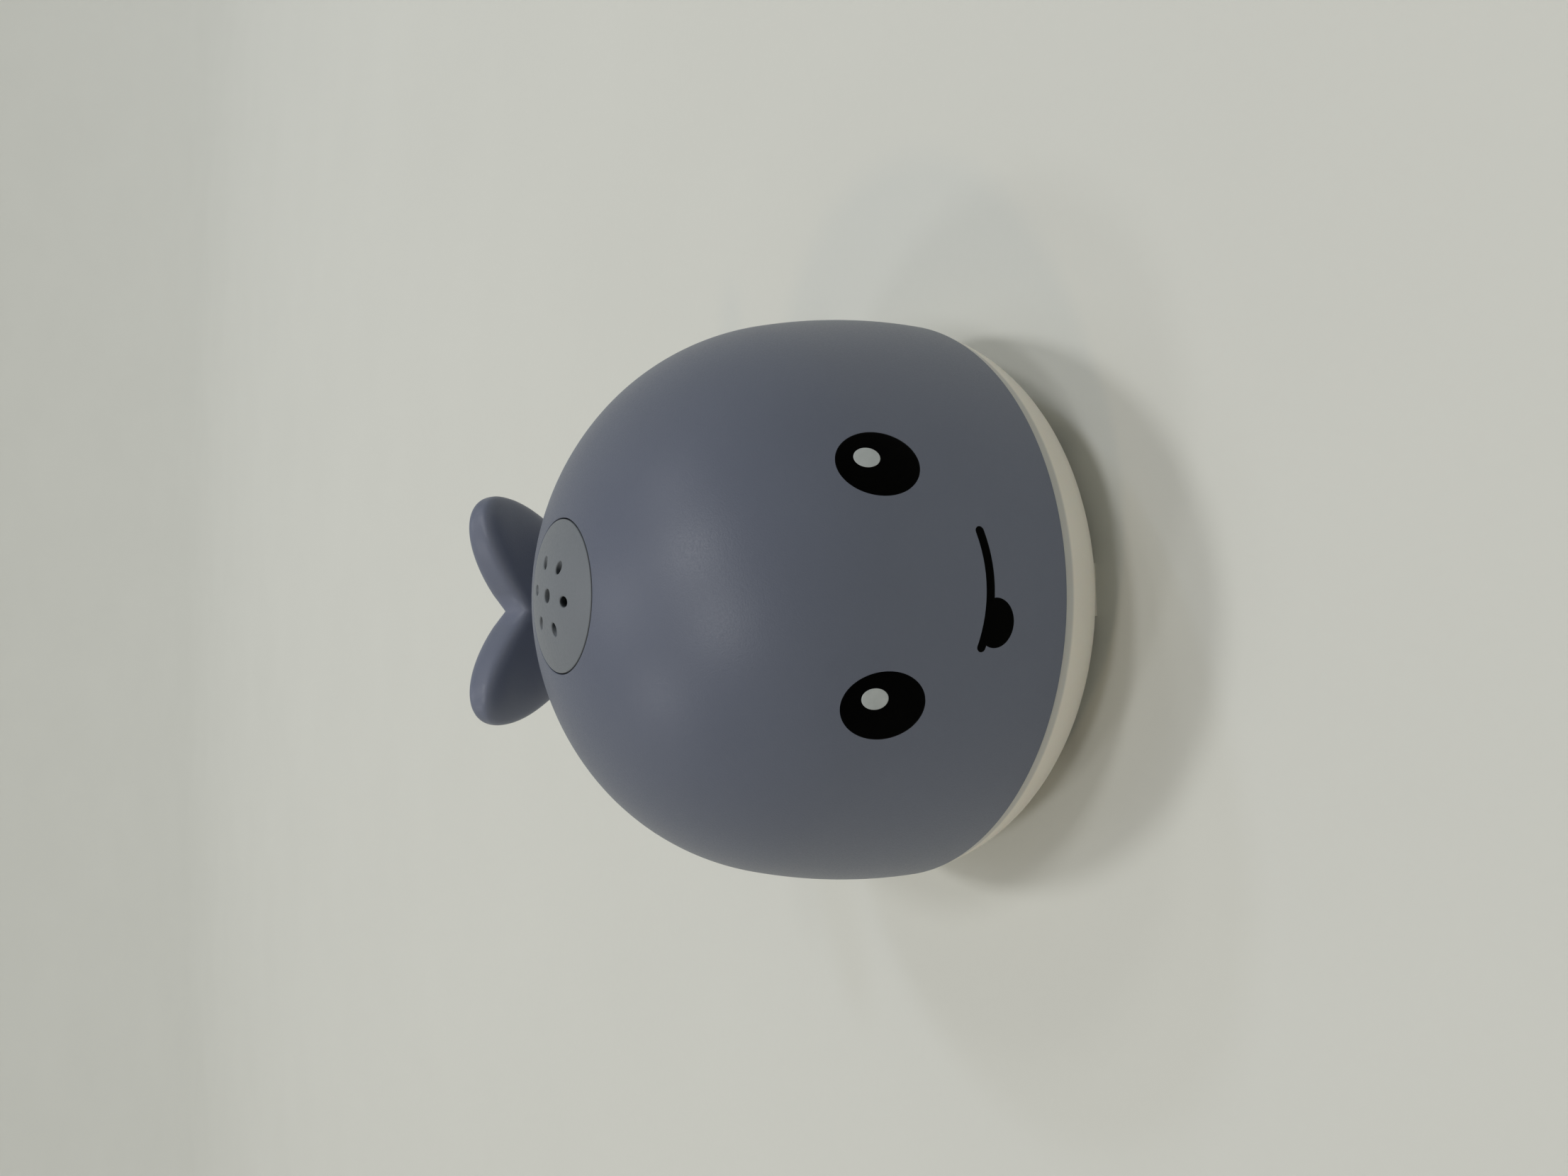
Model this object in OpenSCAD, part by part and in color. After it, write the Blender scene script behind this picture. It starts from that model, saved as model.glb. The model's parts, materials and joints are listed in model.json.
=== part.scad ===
// Spraying whale bath toy: a domed shell on a white base, with a lift-off spray cap, a tail and a pump.
// Millimetres, +Z up, face towards -Y. The origin is on the floor, midway between face and tail.

/* [Body] */
// Widest radius of the body, at the shell's lower edge
body_r = 48; // [45:0.5:54]
// Radius of the round crown
crown_r = 48; // [45:0.5:52]
// Angle from the axis where the crown turns into the shoulder
crown_deg = 40; // [37:1:43]
// Angle from the axis where the shoulder turns into the side
shoulder_deg = 75; // [70:1:79]
// Radius of the gently bowed side wall
side_r = 100; // [80:1:130]
// Wall of the upper shell
shell_wall = 2.4; // [1.8:0.1:2.8]
// Height of the straight band at the shell's lower edge
shell_edge_h = 0.8; // [0.4:0.1:2]
// Room between pieces that are assembled and then stay put
fit_gap = 0.15; // [0.05:0.05:0.2]
// Room between pieces that lift apart
slip_gap = 0.3; // [0.2:0.05:0.4]

/* [Base] */
// How far the base's rim is set in from the shell
base_step = 0.4; // [0.2:0.1:0.8]
// Radius of the round corner between the base's flat bottom and its rim
base_corner_r = 15.5; // [15:0.25:17]
// Wall of the base
base_wall = 2.2; // [1.8:0.1:2.6]
// Thickness of the base's floor
base_floor = 3; // [2.8:0.1:3.6]
// Height of the feet
foot_h = 1; // [0.8:0.1:2]
// Width of a foot along the rim
foot_w = 8.4; // [5:0.1:12]
// Length of a foot along the radius
foot_l = 5; // [3:0.25:6]
// Height of the tongue that stands inside the shell
tongue_h = 4; // [3.5:0.25:5]
// Thickness of the tongue
tongue_t = 2.4; // [2:0.1:2.6]
// Thickness of the seal ring between base and shell
base_seal_d = 1.5; // [1.2:0.1:1.8]

/* [Spray cap] */
// Radius of the spray cap
cap_r = 11.65; // [10.5:0.05:13]
// Radius of the cap's round top
cap_dome_r = 32; // [28:0.5:48]
// Thickness of the cap at its edge
cap_edge_t = 2.2; // [1.6:0.1:3]
// Thickness of the cap above its water chamber
cap_top_t = 2.2; // [1.6:0.1:2.6]
// Depth of the skirt below the cap's edge
cap_skirt_h = 4.6; // [3.5:0.1:5.5]
// Wall of the skirt
cap_skirt_t = 1.7; // [1.3:0.1:2]
// Thickness of the seal ring on the skirt
cap_seal_d = 1.2; // [0.8:0.1:1.5]
// Radius of the ring of spray holes at their mouths
spray_ring_r = 5.4; // [4:0.1:6]
// Number of spray holes in the ring
spray_count = 6; // [3:1:8]
// Diameter of a spray hole in the ring
spray_d = 1.6; // [1:0.05:2.2]
// Diameter of the spray hole in the middle
jet_d = 2.1; // [1:0.05:3]
// Lean of the ring's holes away from the axis
spray_lean_deg = 50; // [30:1:52]
// Turn of the cap in its seat
cap_turn_deg = -12; // [-30:1:30]
// Depth of the cup that the cap plugs into
cup_h = 6; // [5.5:0.1:8]
// Thickness of the cup's floor
cup_floor = 1.8; // [1.2:0.1:2.4]
// Width of the cup's rim
cup_rim_w = 2.7; // [2.2:0.1:3.2]
// Wall of the collar round the cup
collar_t = 1.8; // [1.2:0.1:2.4]

/* [Tail] */
// Span of the flukes
fluke_span = 45; // [36:0.5:50]
// Thickness of the flukes
fluke_t = 9; // [5:0.1:11]
// Radius of the tail's root
tail_root_r = 8.3; // [7:0.1:9]
// Height of the root's axis above the body's widest line
tail_root_h = 23.5; // [20:0.5:26]
// How far the root reaches into the shell
tail_root_l = 6.5; // [5:0.25:8]
// How far the tail sweeps back behind the shell
tail_sweep = 17.5; // [14:0.25:22]
// Rise of the fluke tips above the root's axis
tail_rise = 29.5; // [26:0.5:36]
// How far the fluke tips curl forward from the sweep
tail_curl = 10.5; // [6:0.25:12]

/* [Face] */
// Height of an eye seen from the front
eye_h = 11.6; // [9:0.1:14]
// Width of an eye
eye_w = 10; // [8:0.1:12]
// Turn of an eye's middle from the front
eye_deg = 22.1; // [18:0.1:26]
// Depth of an eye's middle below the crown
eye_drop = 31.5; // [28:0.25:36]
// Outward lean of an eye's top
eye_lean_deg = 15; // [0:1:25]
// Height of the light spot in an eye
glint_h = 3.6; // [2:0.1:5]
// Width of the light spot in an eye
glint_w = 3.1; // [2:0.1:4.5]
// How far the light spot sits to the side of the eye's middle
glint_side = 0.95; // [0:0.05:2]
// How far the light spot sits above the eye's middle
glint_up = 1.5; // [0:0.1:2]
// Width of the mouth
mouth_w = 16.1; // [12:0.1:20]
// How far the mouth's middle sits to the side of the front
mouth_side = -0.8; // [-2:0.1:2]
// Radius of the smile's curve
mouth_r = 30; // [20:0.5:40]
// Thickness of the mouth line
mouth_line = 1.35; // [0.8:0.05:2]
// Depth of the mouth's lowest point below the crown
mouth_drop = 45.6; // [42:0.25:48]
// Width of the tongue print
lick_w = 7; // [5:0.1:9]
// Height of the tongue print
lick_h = 6; // [4:0.1:8]
// How far the tongue print sits to the side of the mouth's middle
lick_side = 4.7; // [3:0.1:6]
// Depth of the tongue print's middle below the mouth's lowest point
lick_drop = 1; // [0.5:0.1:2]
// Thickness of the printed ink
print_t = 0.2; // [0.1:0.05:0.3]

/* [Battery compartment] */
// Diameter of a cell
cell_d = 10.5; // [9.5:0.1:10.5]
// Length of a cell with its button
cell_l = 44.5; // [42:0.1:44.5]
// Diameter of a cell's button
cell_button_d = 3.8; // [3:0.1:5]
// Height of a cell's button
cell_button_h = 1; // [0.6:0.1:1.4]
// Room round each cell
cell_gap = 0.4; // [0.2:0.05:0.5]
// Length of a contact spring with the cell in
spring_l = 4.5; // [3.5:0.1:5]
// Wire of a contact spring
spring_wire = 0.7; // [0.5:0.05:0.8]
// Turns of a contact spring
spring_turns = 3.5; // [2.5:0.25:4]
// Thickness of the contact plates
plate_t = 0.4; // [0.3:0.05:0.6]
// Wall of the battery box
box_wall = 1.6; // [1.2:0.1:1.7]
// Length of the battery door
door_l = 49; // [48:0.25:50]
// Width of the battery door
door_w = 36; // [35.5:0.1:36.5]
// Corner radius of the battery door
door_corner_r = 5; // [4.5:0.25:7]
// Thickness of the battery door's flange
door_t = 1.4; // [1.2:0.1:1.6]
// Thickness of the door gasket
gasket_t = 0.6; // [0.4:0.05:0.7]
// Width of the ledge that the gasket presses on
ledge_w = 1.45; // [1.2:0.05:1.6]
// Distance of the door's middle behind the body's axis
door_back = 5.5; // [5:0.25:6]
// Radius of the door's screw ears
ear_r = 3; // [2.6:0.1:3.2]

/* [Pump] */
// Distance of the pump in front of the body's axis
pump_front = 22.5; // [22:0.25:23]
// Outside radius of the pump housing
volute_r = 8.6; // [8:0.1:8.8]
// Height of the pump housing
volute_h = 9; // [8:0.25:11]
// Wall of the pump housing
volute_wall = 1.7; // [1.2:0.1:2]
// Thickness of the pump housing's roof
volute_roof = 2.8; // [2.4:0.1:3.4]
// Room between the impeller and the pump housing
impeller_gap = 0.7; // [0.5:0.05:1]
// Number of impeller vanes
vane_count = 5; // [3:1:8]
// Thickness of an impeller vane
vane_t = 0.9; // [0.6:0.1:1.2]
// Diameter of the motor shaft
shaft_d = 2; // [1.5:0.1:2.3]
// Room between the shaft and what it turns in
shaft_gap = 0.05; // [0.02:0.01:0.09]
// Diameter of the motor can
motor_d = 17; // [15:0.1:17]
// Length of the motor can
motor_l = 20; // [18:0.5:24]
// Number of water intake slots
slot_count = 5; // [3:1:5]
// Width of a water intake slot
slot_w = 1.5; // [1:0.1:1.6]
// Distance of the outlet from the pump's axis
outlet_l = 14; // [13.75:0.25:14.5]
// Outside diameter of the delivery hose
hose_d = 6.4; // [5.6:0.1:7]
// Bore of the delivery hose
hose_bore = 4.3; // [3.6:0.1:4.6]
// Bend radius of the delivery hose
hose_bend = 7; // [6:0.25:8]
// Depth of the hose's level run below the crown
hose_drop = 26; // [25:0.25:28]

/* [Electronics] */
// Length of the circuit board
board_l = 42; // [40:0.5:44]
// Width of the circuit board
board_w = 26; // [25:0.5:28]
// Thickness of the circuit board
board_t = 1.2; // [0.8:0.1:1.6]
// Height of the posts under the circuit board
board_post_h = 4.6; // [3.5:0.1:6]
// Diameter of a lamp
lamp_d = 5; // [3:0.1:6]
// Height of a lamp
lamp_h = 7; // [5:0.1:9]
// Diameter of a lead
lead_d = 1.2; // [0.8:0.1:1.4]
// Diameter of a sensor stud's shank
stud_d = 3; // [2.5:0.1:3.5]
// Diameter of a sensor stud's head
stud_head_d = 6; // [5:0.1:6.5]
// Height of a sensor stud's head
stud_head_h = 0.7; // [0.5:0.05:0.75]
// Distance of the sensor studs to each side of the body's axis
stud_side = 20; // [19:0.25:21]
// Distance of the sensor studs in front of the body's axis
stud_front = 18.5; // [18:0.25:19.5]

/* [Screws] */
// Shank diameter of the screws that hold base and tail
screw_d = 2.8; // [2.4:0.1:3]
// Head diameter of those screws
screw_head_d = 5.4; // [4.6:0.1:5.6]
// Head height of those screws
screw_head_h = 2; // [1.6:0.1:2.2]
// Distance of the base screws from the body's axis
screw_ring_r = 39; // [38.5:0.1:39.2]
// Turn of the base screws from the front and the back
screw_deg = 38; // [36:1:42]
// Height of the base screws' seats above the base's underside
screw_seat_h = 8; // [7:0.25:9]
// Shank diameter of the small screws
small_screw_d = 2; // [1.6:0.1:2.2]
// Head diameter of the small screws
small_head_d = 3.8; // [3.2:0.1:4]
// Head height of the small screws
small_head_h = 1; // [0.8:0.1:1.1]

/* [Hidden] */
$fn = 96;
// How far a cut runs past the face it opens
overrun = 1;

// Heights of the body
floor_in = foot_h + base_floor;
edge_z = foot_h + base_corner_r;
equator_z = edge_z + shell_edge_h;
shoulder_r = (body_r - crown_r * sin(crown_deg) - side_r * (1 - sin(shoulder_deg)))
    / (sin(shoulder_deg) - sin(crown_deg));
dome_h = crown_r - (crown_r - shoulder_r) * cos(crown_deg) - (shoulder_r - side_r) * cos(shoulder_deg);
top_z = equator_z + dome_h;

// Centres of the three arcs of the body's profile
crown_c = [0, top_z - crown_r];
shoulder_c = crown_c + (crown_r - shoulder_r) * [sin(crown_deg), cos(crown_deg)];
side_c = shoulder_c + (shoulder_r - side_r) * [sin(shoulder_deg), cos(shoulder_deg)];

// Base rim and tongue
base_r = body_r - base_step;
base_flat_r = base_r - base_corner_r;
shell_in_r = body_r - shell_wall;
tongue_out = shell_in_r - fit_gap;
tongue_in = tongue_out - tongue_t;
tongue_root = tongue_h + overrun;
seal_groove = base_seal_d - fit_gap / 2;
base_seal_z = edge_z + tongue_h / 2;

// Spray cap, cup and collar
open_r = cap_r + slip_gap;
cap_edge_z = crown_c[1] + sqrt(crown_r * crown_r - cap_r * cap_r);
cap_under_z = cap_edge_z - cap_edge_t;
cap_dome_z = cap_edge_z - sqrt(cap_dome_r * cap_dome_r - cap_r * cap_r);
cap_top_z = cap_dome_z + cap_dome_r;
cup_top_z = cap_under_z - fit_gap;
cup_r = open_r + collar_t / 3;
cup_bore_r = cup_r - cup_rim_w;
cup_floor_z = cup_top_z - cup_h;
skirt_r = cup_bore_r - slip_gap;
cap_seal_groove = cap_seal_d - slip_gap + fit_gap / 2;
cap_seal_z = cap_under_z - cap_skirt_h / 2;
collar_r = cup_r + fit_gap + collar_t;
collar_z = cup_floor_z - cup_floor;
spigot_r = hose_bore / 2 - fit_gap / 2;
spigot_bore_r = spigot_r * 2 / 3;
spigot_h = 2 * hose_bore;

// Tail: the root is level, then the stock bends up and the flukes curl forward
tail_z = equator_z + tail_root_h;
tail_seat_y = shell_in_r - tail_root_l;
tail_exit_y = body_r - shell_wall / 2;
tail_sock_r = tail_root_r + fit_gap;
tail_path = [
    [tail_exit_y, tail_z],
    [tail_exit_y + tail_sweep * 2 / 3, tail_z],
    [tail_exit_y + tail_sweep, tail_z + tail_rise * 9 / 20],
    [tail_exit_y + tail_sweep - tail_curl, tail_z + tail_rise]
];
// Share of the path where the notch between the flukes lies
notch_share = 0.813;
// Share of the span's square that lifts the flukes' tips
tip_lift_share = 0.157;
// Share of the rows below the rounding of the flukes' upper edge
round_share = 0.9;
// Share of the thickness left at the very edge of the flukes
edge_share = 0.5;
// Share of the thickness that the flukes lose towards their tips
tip_thin_share = 0.14;
// Power of the flukes' outline, of how late they flare, of how plate-like they are and of their edge
lobe_power = 0.53;
edge_power = 3.4;
flare_power = 4;
plate_power = 3.4;
tail_rows = 22;
round_rows = 6;
tail_sides = 40;

// Battery compartment
cell_pitch = cell_d + cell_gap;
bay_w = 3 * cell_d + 4 * cell_gap;
bay_l = cell_l + spring_l + 2 * plate_t + cell_gap;
bay_h = cell_d + 2 * cell_gap;
cell_z = floor_in + cell_gap + cell_d / 2;
roof_z = floor_in + bay_h;
box_top_z = roof_z + box_wall;
box_l = bay_l + 2 * box_wall;
box_w = bay_w + 2 * box_wall;
box_corner_r = 2 * box_wall;
plate_h = bay_h - 2 * cell_gap;
tag_w = 2 * box_wall;
tag_top_z = box_top_z + box_wall;
door_open_l = min(door_l - 2 * ledge_w, bay_l);
door_open_w = min(door_w - 2 * ledge_w, bay_w);
door_recess = door_t + gasket_t + fit_gap / 3;
ear_boss_r = ear_r - box_wall / 2;
ear_x = max(box_l, door_l + small_screw_d) / 2 + fit_gap + ear_boss_r;
ear_boss_top_z = floor_in + bay_h / 2;
door_screw_l = ear_boss_top_z - foot_h - door_t / 2 - small_screw_d;

// Pump and motor
volute_z = floor_in + volute_h;
chamber_r = volute_r - volute_wall;
chamber_top_z = volute_z - volute_roof;
impeller_r = chamber_r - impeller_gap;
impeller_z = floor_in + impeller_gap;
impeller_top_z = chamber_top_z - impeller_gap;
impeller_disc_t = 1.5 * vane_t;
hub_r = shaft_d * 1.1;
vane_in_r = (hub_r + shaft_d / 2) / 2;
vane_out_r = impeller_r - vane_t / 2;
vane_z = impeller_z + vane_t / 3;
seal_r = 1.5 * shaft_d;
seal_h = volute_roof * 3 / 5;
outlet_deg = -40;
duct_r = (hose_d - slip_gap) / 2;
duct_bore_r = spigot_bore_r * 4 / 5;
outlet_z = floor_in + hose_d / 2;
outlet_top_z = outlet_z + hose_d;
outlet_pos = [outlet_l * cos(outlet_deg), outlet_l * sin(outlet_deg) - pump_front, 0];
can_t = shaft_d * 2 / 5;
can_r = motor_d / 2;
can_in_r = can_r - can_t;
motor_top_z = volute_z + motor_l;
bush_r = shaft_d * 1.2;
bush_h = shaft_d * 1.2;
motor_cap_h = bush_h + can_t;
motor_plug_h = shaft_d;
magnet_t = motor_d / 11;
magnet_r = can_in_r - fit_gap;
armature_r = magnet_r - magnet_t - fit_gap - slip_gap;
armature_z = volute_z + bush_h + shaft_d;
armature_top_z = motor_top_z - 2 * motor_plug_h;
commutator_r = shaft_d * 1.1;
commutator_top_z = motor_top_z - motor_plug_h - fit_gap;
shaft_z = impeller_z + vane_t;
shaft_top_z = motor_top_z + bush_h - fit_gap;
terminal_x = bush_r + shaft_d;
terminal_top_z = motor_top_z + motor_cap_h + shaft_d;
clamp_z = volute_z + motor_l * 2 / 5;
clamp_h = motor_l / 4;
clamp_t = can_t * 2;
clamp_in_r = can_r + fit_gap;
clamp_ear_t = clamp_h / 2;
clamp_ear_r = small_head_d * 4 / 5;
post_r = small_screw_d * 5 / 4;
post_x = clamp_in_r + clamp_t + small_head_d;
intake_r = chamber_r - slot_w / 4;
slot_pitch = 2 * intake_r / slot_count;

// Delivery hose
hose_run_z = top_z - hose_drop;
hose_start_z = outlet_top_z + fit_gap;
hose_end_z = collar_z - fit_gap;
hose_span = norm(outlet_pos);
hose_deg = atan2(-outlet_pos[1], -outlet_pos[0]);

// Electronics
board_z = box_top_z + board_post_h;
board_top_z = board_z + board_t;
board_hole_x = board_l / 2 - small_head_d;
board_hole_y = board_w / 2 - small_head_d * 3 / 4;
board_post_r = small_screw_d * 1.1;
chip_size = [board_l / 5, board_w / 4, board_t * 4 / 3];
lamp_spread = board_l / 4;
stud_seal_t = stud_head_h;
stud_nut_d = stud_d * 1.8;
stud_nut_h = stud_d * 4 / 5;
stud_top_z = floor_in + stud_nut_h + stud_d / 2;
stud_seat_z = foot_h + stud_seal_t;

// Base screws
column_r = screw_head_d / 2 + base_wall * 4 / 5;
well_r = screw_head_d / 2 + slip_gap;
screw_seat_z = foot_h + screw_seat_h;
boss_r = screw_d * 1.3;
boss_z = edge_z + fit_gap;
boss_top_z = boss_z + 6 * screw_d;
rib_l = body_r - screw_ring_r;
rib_t = shell_wall * 5 / 6;
rib_z = edge_z + tongue_h + slip_gap;
tail_screw_l = screw_d * 3;
tail_floor_t = shell_wall;

// Colours
shell_grey = "#6c737d";
cap_grey = "#757c80";
ink_black = "#0a0a0b";
ink_white = "#e4e7e6";
base_white = "#e6e0d5";
seal_grey = "#b9bdc0";
steel = "#b4b6b8";
brass_tone = "#c4a15a";
hose_clear = "#dfe6e4";
part_white = "#d9d9d4";
board_green = "#2f6b45";
cell_blue = "#2e6f9e";
magnet_grey = "#3c3c40";
lamp_clear = "#e9eef0";
lead_red = "#b3202a";
lead_yellow = "#e8c53a";

// A cubic curve through four control points
function curve(p, t) = pow(1 - t, 3) * p[0] + 3 * pow(1 - t, 2) * t * p[1]
    + 3 * (1 - t) * t * t * p[2] + pow(t, 3) * p[3];
function curve_dir(p, t) = let(d = pow(1 - t, 2) * (p[1] - p[0]) + 2 * (1 - t) * t * (p[2] - p[1])
    + t * t * (p[3] - p[2])) d / norm(d);

// A signed power, for rounded-square sections
function soft(v, p) = sign(v) * pow(abs(v), p);

// Rise of a fluke above the notch, as a share, at a share u of the half span
function lobe_shape(a) = a * sqrt(1 - pow(a, lobe_power)) + tip_lift_share * a * a;
lobe_peak = max([for (a = [0 : 0.02 : 1]) lobe_shape(a)]);
function lobe(u) = lobe_shape(min(abs(u), 1)) / lobe_peak;

// Rows of the tail: even along the stock, then closer over the rounded upper edge
tail_row_shares = concat(
    [for (i = [0 : tail_rows - 1]) round_share * i / (tail_rows - 1)],
    [for (i = [1 : round_rows]) round_share + (1 - round_share) * sin(90 * i / round_rows)]
);

// One point of the tail, at row share s and angle a round the section
function tail_point(s, a) =
    let(
        late = pow(s, 2),
        power = 2 / (2 + (plate_power - 2) * late),
        u = soft(cos(a), power),
        n = soft(sin(a), power),
        half_w = tail_root_r + (fluke_span / 2 - tail_root_r) * pow(sin(90 * s), flare_power),
        half_t = fluke_t / 2 + (tail_root_r - fluke_t / 2) * pow(1 - s, 2),
        over = max(0, (s - round_share) / (1 - round_share)),
        edge = edge_share + (1 - edge_share) * pow(1 - pow(over, edge_power), 1 / edge_power),
        t = notch_share * s + (1 - notch_share) * pow(s, 3) * lobe(u),
        p = curve(tail_path, t),
        d = curve_dir(tail_path, t),
        off = half_t * edge * (1 - tip_thin_share * late * u * u) * n
    ) [half_w * u, p[0] - d[1] * off, p[1] + d[0] * off];

tail_root_ring = [for (k = [0 : tail_sides - 1])
    let(a = 360 * k / tail_sides) [tail_root_r * cos(a), tail_seat_y, tail_z + tail_root_r * sin(a)]];
tail_points = concat(tail_root_ring,
    [for (s = tail_row_shares) for (k = [0 : tail_sides - 1]) tail_point(s, 360 * k / tail_sides)]);
tail_rings = len(tail_row_shares) + 1;

// The origin lies midway between the face and the back of the tail
tail_back = max([for (p = tail_points) p[1]]);
axis_y = (body_r - tail_back) / 2;

module on_axis() {
    translate([0, axis_y, 0]) children();
}

module at_pump() {
    translate([0, -pump_front, 0]) children();
}

module at_outlet() {
    translate(outlet_pos) children();
}

module at_door() {
    translate([0, door_back, 0]) children();
}

// Faces of a tube of rings, closed at both ends
function ring_faces(rings, sides, flat_end) = concat(
    [[for (k = [0 : sides - 1]) k]],
    [for (r = [0 : rings - 2]) for (k = [0 : sides - 1])
        let(a = r * sides + k, b = r * sides + (k + 1) % sides)
        each [[a, a + sides, b], [b, a + sides, b + sides]]],
    flat_end ? [[for (k = [sides - 1 : -1 : 0]) (rings - 1) * sides + k]]
        : [for (k = [0 : sides / 2 - 1])
            let(e = (rings - 1) * sides, m = (sides - k) % sides, q = sides - k - 1)
            each k == 0 ? [[e, e + q, e + 1]]
                : k == sides / 2 - 1 ? [[e + k, e + m, e + k + 1]]
                : [[e + k, e + m, e + k + 1], [e + k + 1, e + m, e + q]]]
);

// A lead that leaves one end upwards, arches over and comes down on the other end
lead_rows = 14;
lead_sides = 8;
module lead(from, to, arch) {
    path = [from, from + [0, 0, arch], [to[0], to[1], from[2] + arch], to];
    flat = [to[0] - from[0], to[1] - from[1], 0];
    side = cross(flat / norm(flat), [0, 0, 1]);
    points = [for (i = [0 : lead_rows]) let(t = i / lead_rows, c = curve(path, t), d = curve_dir(path, t))
        for (k = [0 : lead_sides - 1]) let(a = 360 * k / lead_sides)
            c + lead_d / 2 * (cos(a) * side + sin(a) * cross(d, side))];
    polyhedron(points, ring_faces(lead_rows + 1, lead_sides, true));
}

// An upright rod between two heights
module rod(r, z0, z1) {
    translate([0, 0, z0]) cylinder(r = r, h = z1 - z0);
}

// The part of a disc, filled in to the axis, between two heights
module disc_band(c, r, z0, z1) {
    intersection() {
        union() {
            translate(c) circle(r = r);
            if (c[0] > 0) translate([0, z0 - r]) square([c[0], z1 - z0 + 2 * r]);
        }
        translate([0, z0]) square([2 * body_r, z1 - z0]);
    }
}

// Half section of the closed body, set in from its surface
module body_profile(inset) {
    crown_z = crown_c[1] + (crown_r - inset) * cos(crown_deg);
    shoulder_z = shoulder_c[1] + (shoulder_r - inset) * cos(shoulder_deg);
    disc_band(crown_c, crown_r - inset, crown_z, top_z + body_r);
    disc_band(shoulder_c, shoulder_r - inset, shoulder_z, crown_z);
    disc_band(side_c, side_r - inset, equator_z, shoulder_z);
    translate([0, edge_z]) square([body_r - inset, shell_edge_h]);
}

module body_solid(inset) {
    rotate_extrude() body_profile(inset);
}

// Half section of the base's bowl, set in from its surface
module bowl_profile(inset, floor_z) {
    intersection() {
        union() {
            translate([0, foot_h]) square([base_flat_r, base_corner_r]);
            intersection() {
                translate([base_flat_r, edge_z]) circle(r = base_corner_r - inset);
                translate([base_flat_r, foot_h]) square(base_corner_r);
            }
        }
        translate([0, floor_z]) square([base_r, edge_z - floor_z]);
    }
}

module rounded_rect(l, w, r) {
    square([l, w - 2 * r], center = true);
    square([l - 2 * r, w], center = true);
    for (x = [-1, 1], y = [-1, 1]) translate([x * (l / 2 - r), y * (w / 2 - r)]) circle(r = r);
}

module at_base_screws() {
    for (a = [screw_deg, 180 - screw_deg, 180 + screw_deg, 360 - screw_deg])
        rotate([0, 0, a]) translate([0, -screw_ring_r, 0]) children();
}

module at_board_holes() {
    for (x = [-1, 1], y = [-1, 1]) translate([x * board_hole_x, y * board_hole_y, 0]) children();
}

module at_studs() {
    for (x = [-1, 1]) translate([x * stud_side, -stud_front, 0]) children();
}

module at_posts() {
    at_pump() for (x = [-1, 1]) translate([x * post_x, 0, 0]) children();
}

module at_ears() {
    at_door() for (x = [-1, 1]) translate([x * ear_x, 0, 0]) children();
}

// A screw that points up from the origin, with its head below
module screw_up(d, head_d, head_h, l) {
    translate([0, 0, -head_h]) cylinder(d = head_d, h = head_h);
    cylinder(d = d, h = l);
}

// Upper shell
module shell_profile() {
    difference() {
        union() {
            difference() {
                body_profile(0);
                body_profile(shell_wall);
            }
            intersection() {
                translate([0, collar_z]) square([collar_r, top_z - collar_z]);
                body_profile(shell_wall / 2);
            }
        }
        translate([0, collar_z - overrun])
            square([cup_r + fit_gap, cup_top_z + fit_gap - collar_z + overrun]);
        translate([0, cup_top_z]) square([open_r, top_z - cup_top_z + overrun]);
    }
}

module shell_bosses() {
    at_base_screws() {
        rod(boss_r, boss_z, boss_top_z);
        translate([-rib_t / 2, -rib_l, rib_z]) cube([rib_t, rib_l, boss_top_z - rib_z]);
    }
    translate([0, tail_seat_y - tail_floor_t, tail_z]) rotate([-90, 0, 0])
        cylinder(r = tail_sock_r + shell_wall, h = body_r - tail_seat_y + tail_floor_t);
}

module upper_shell() {
    color(shell_grey) on_axis() difference() {
        union() {
            rotate_extrude() shell_profile();
            intersection() {
                shell_bosses();
                body_solid(shell_wall / 2);
            }
        }
        at_base_screws() rod((screw_d + fit_gap) / 2, boss_z - overrun, boss_top_z - screw_d);
        translate([0, tail_seat_y, tail_z]) rotate([-90, 0, 0]) cylinder(r = tail_sock_r, h = body_r);
        translate([0, tail_seat_y - tail_floor_t - overrun, tail_z]) rotate([-90, 0, 0])
            cylinder(d = screw_d + 2 * fit_gap, h = tail_floor_t + 2 * overrun);
    }
}

// Tail and its screw
module tail() {
    color(shell_grey) on_axis() difference() {
        polyhedron(tail_points, ring_faces(tail_rings, tail_sides, false));
        translate([0, tail_seat_y - overrun, tail_z]) rotate([-90, 0, 0])
            cylinder(d = screw_d, h = tail_screw_l + overrun);
    }
}

module tail_screw() {
    color(steel) on_axis() translate([0, tail_seat_y - tail_floor_t, tail_z]) rotate([-90, 0, 0])
        screw_up(screw_d, screw_head_d, screw_head_h, tail_floor_t + tail_screw_l - screw_d / 2);
}

// Printed face: thin ink on the shell, cut out by prisms seen from the front
module ink_layer(level) {
    rotate_extrude() difference() {
        body_profile(-(level + 1) * print_t);
        body_profile(-level * print_t);
    }
}

module seen_from_front(turn, drop) {
    rotate([0, 0, turn]) translate([0, 0, top_z - drop]) rotate([90, 0, 0])
        linear_extrude(body_r + overrun) children();
}

module oval(w, h) {
    scale([w / 2, h / 2]) circle(r = 1);
}

module eye_print(side) {
    color(ink_black) on_axis() intersection() {
        ink_layer(0);
        seen_from_front(side * eye_deg, eye_drop) rotate(-side * eye_lean_deg) oval(eye_w, eye_h);
    }
}

module eye_print_left() {
    eye_print(-1);
}

module eye_print_right() {
    eye_print(1);
}

module eye_glints() {
    color(ink_white) on_axis() for (side = [-1, 1]) intersection() {
        ink_layer(1);
        seen_from_front(side * eye_deg, eye_drop) translate([glint_side, glint_up])
            rotate(-side * eye_lean_deg / 2) oval(glint_w, glint_h);
    }
}

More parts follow.
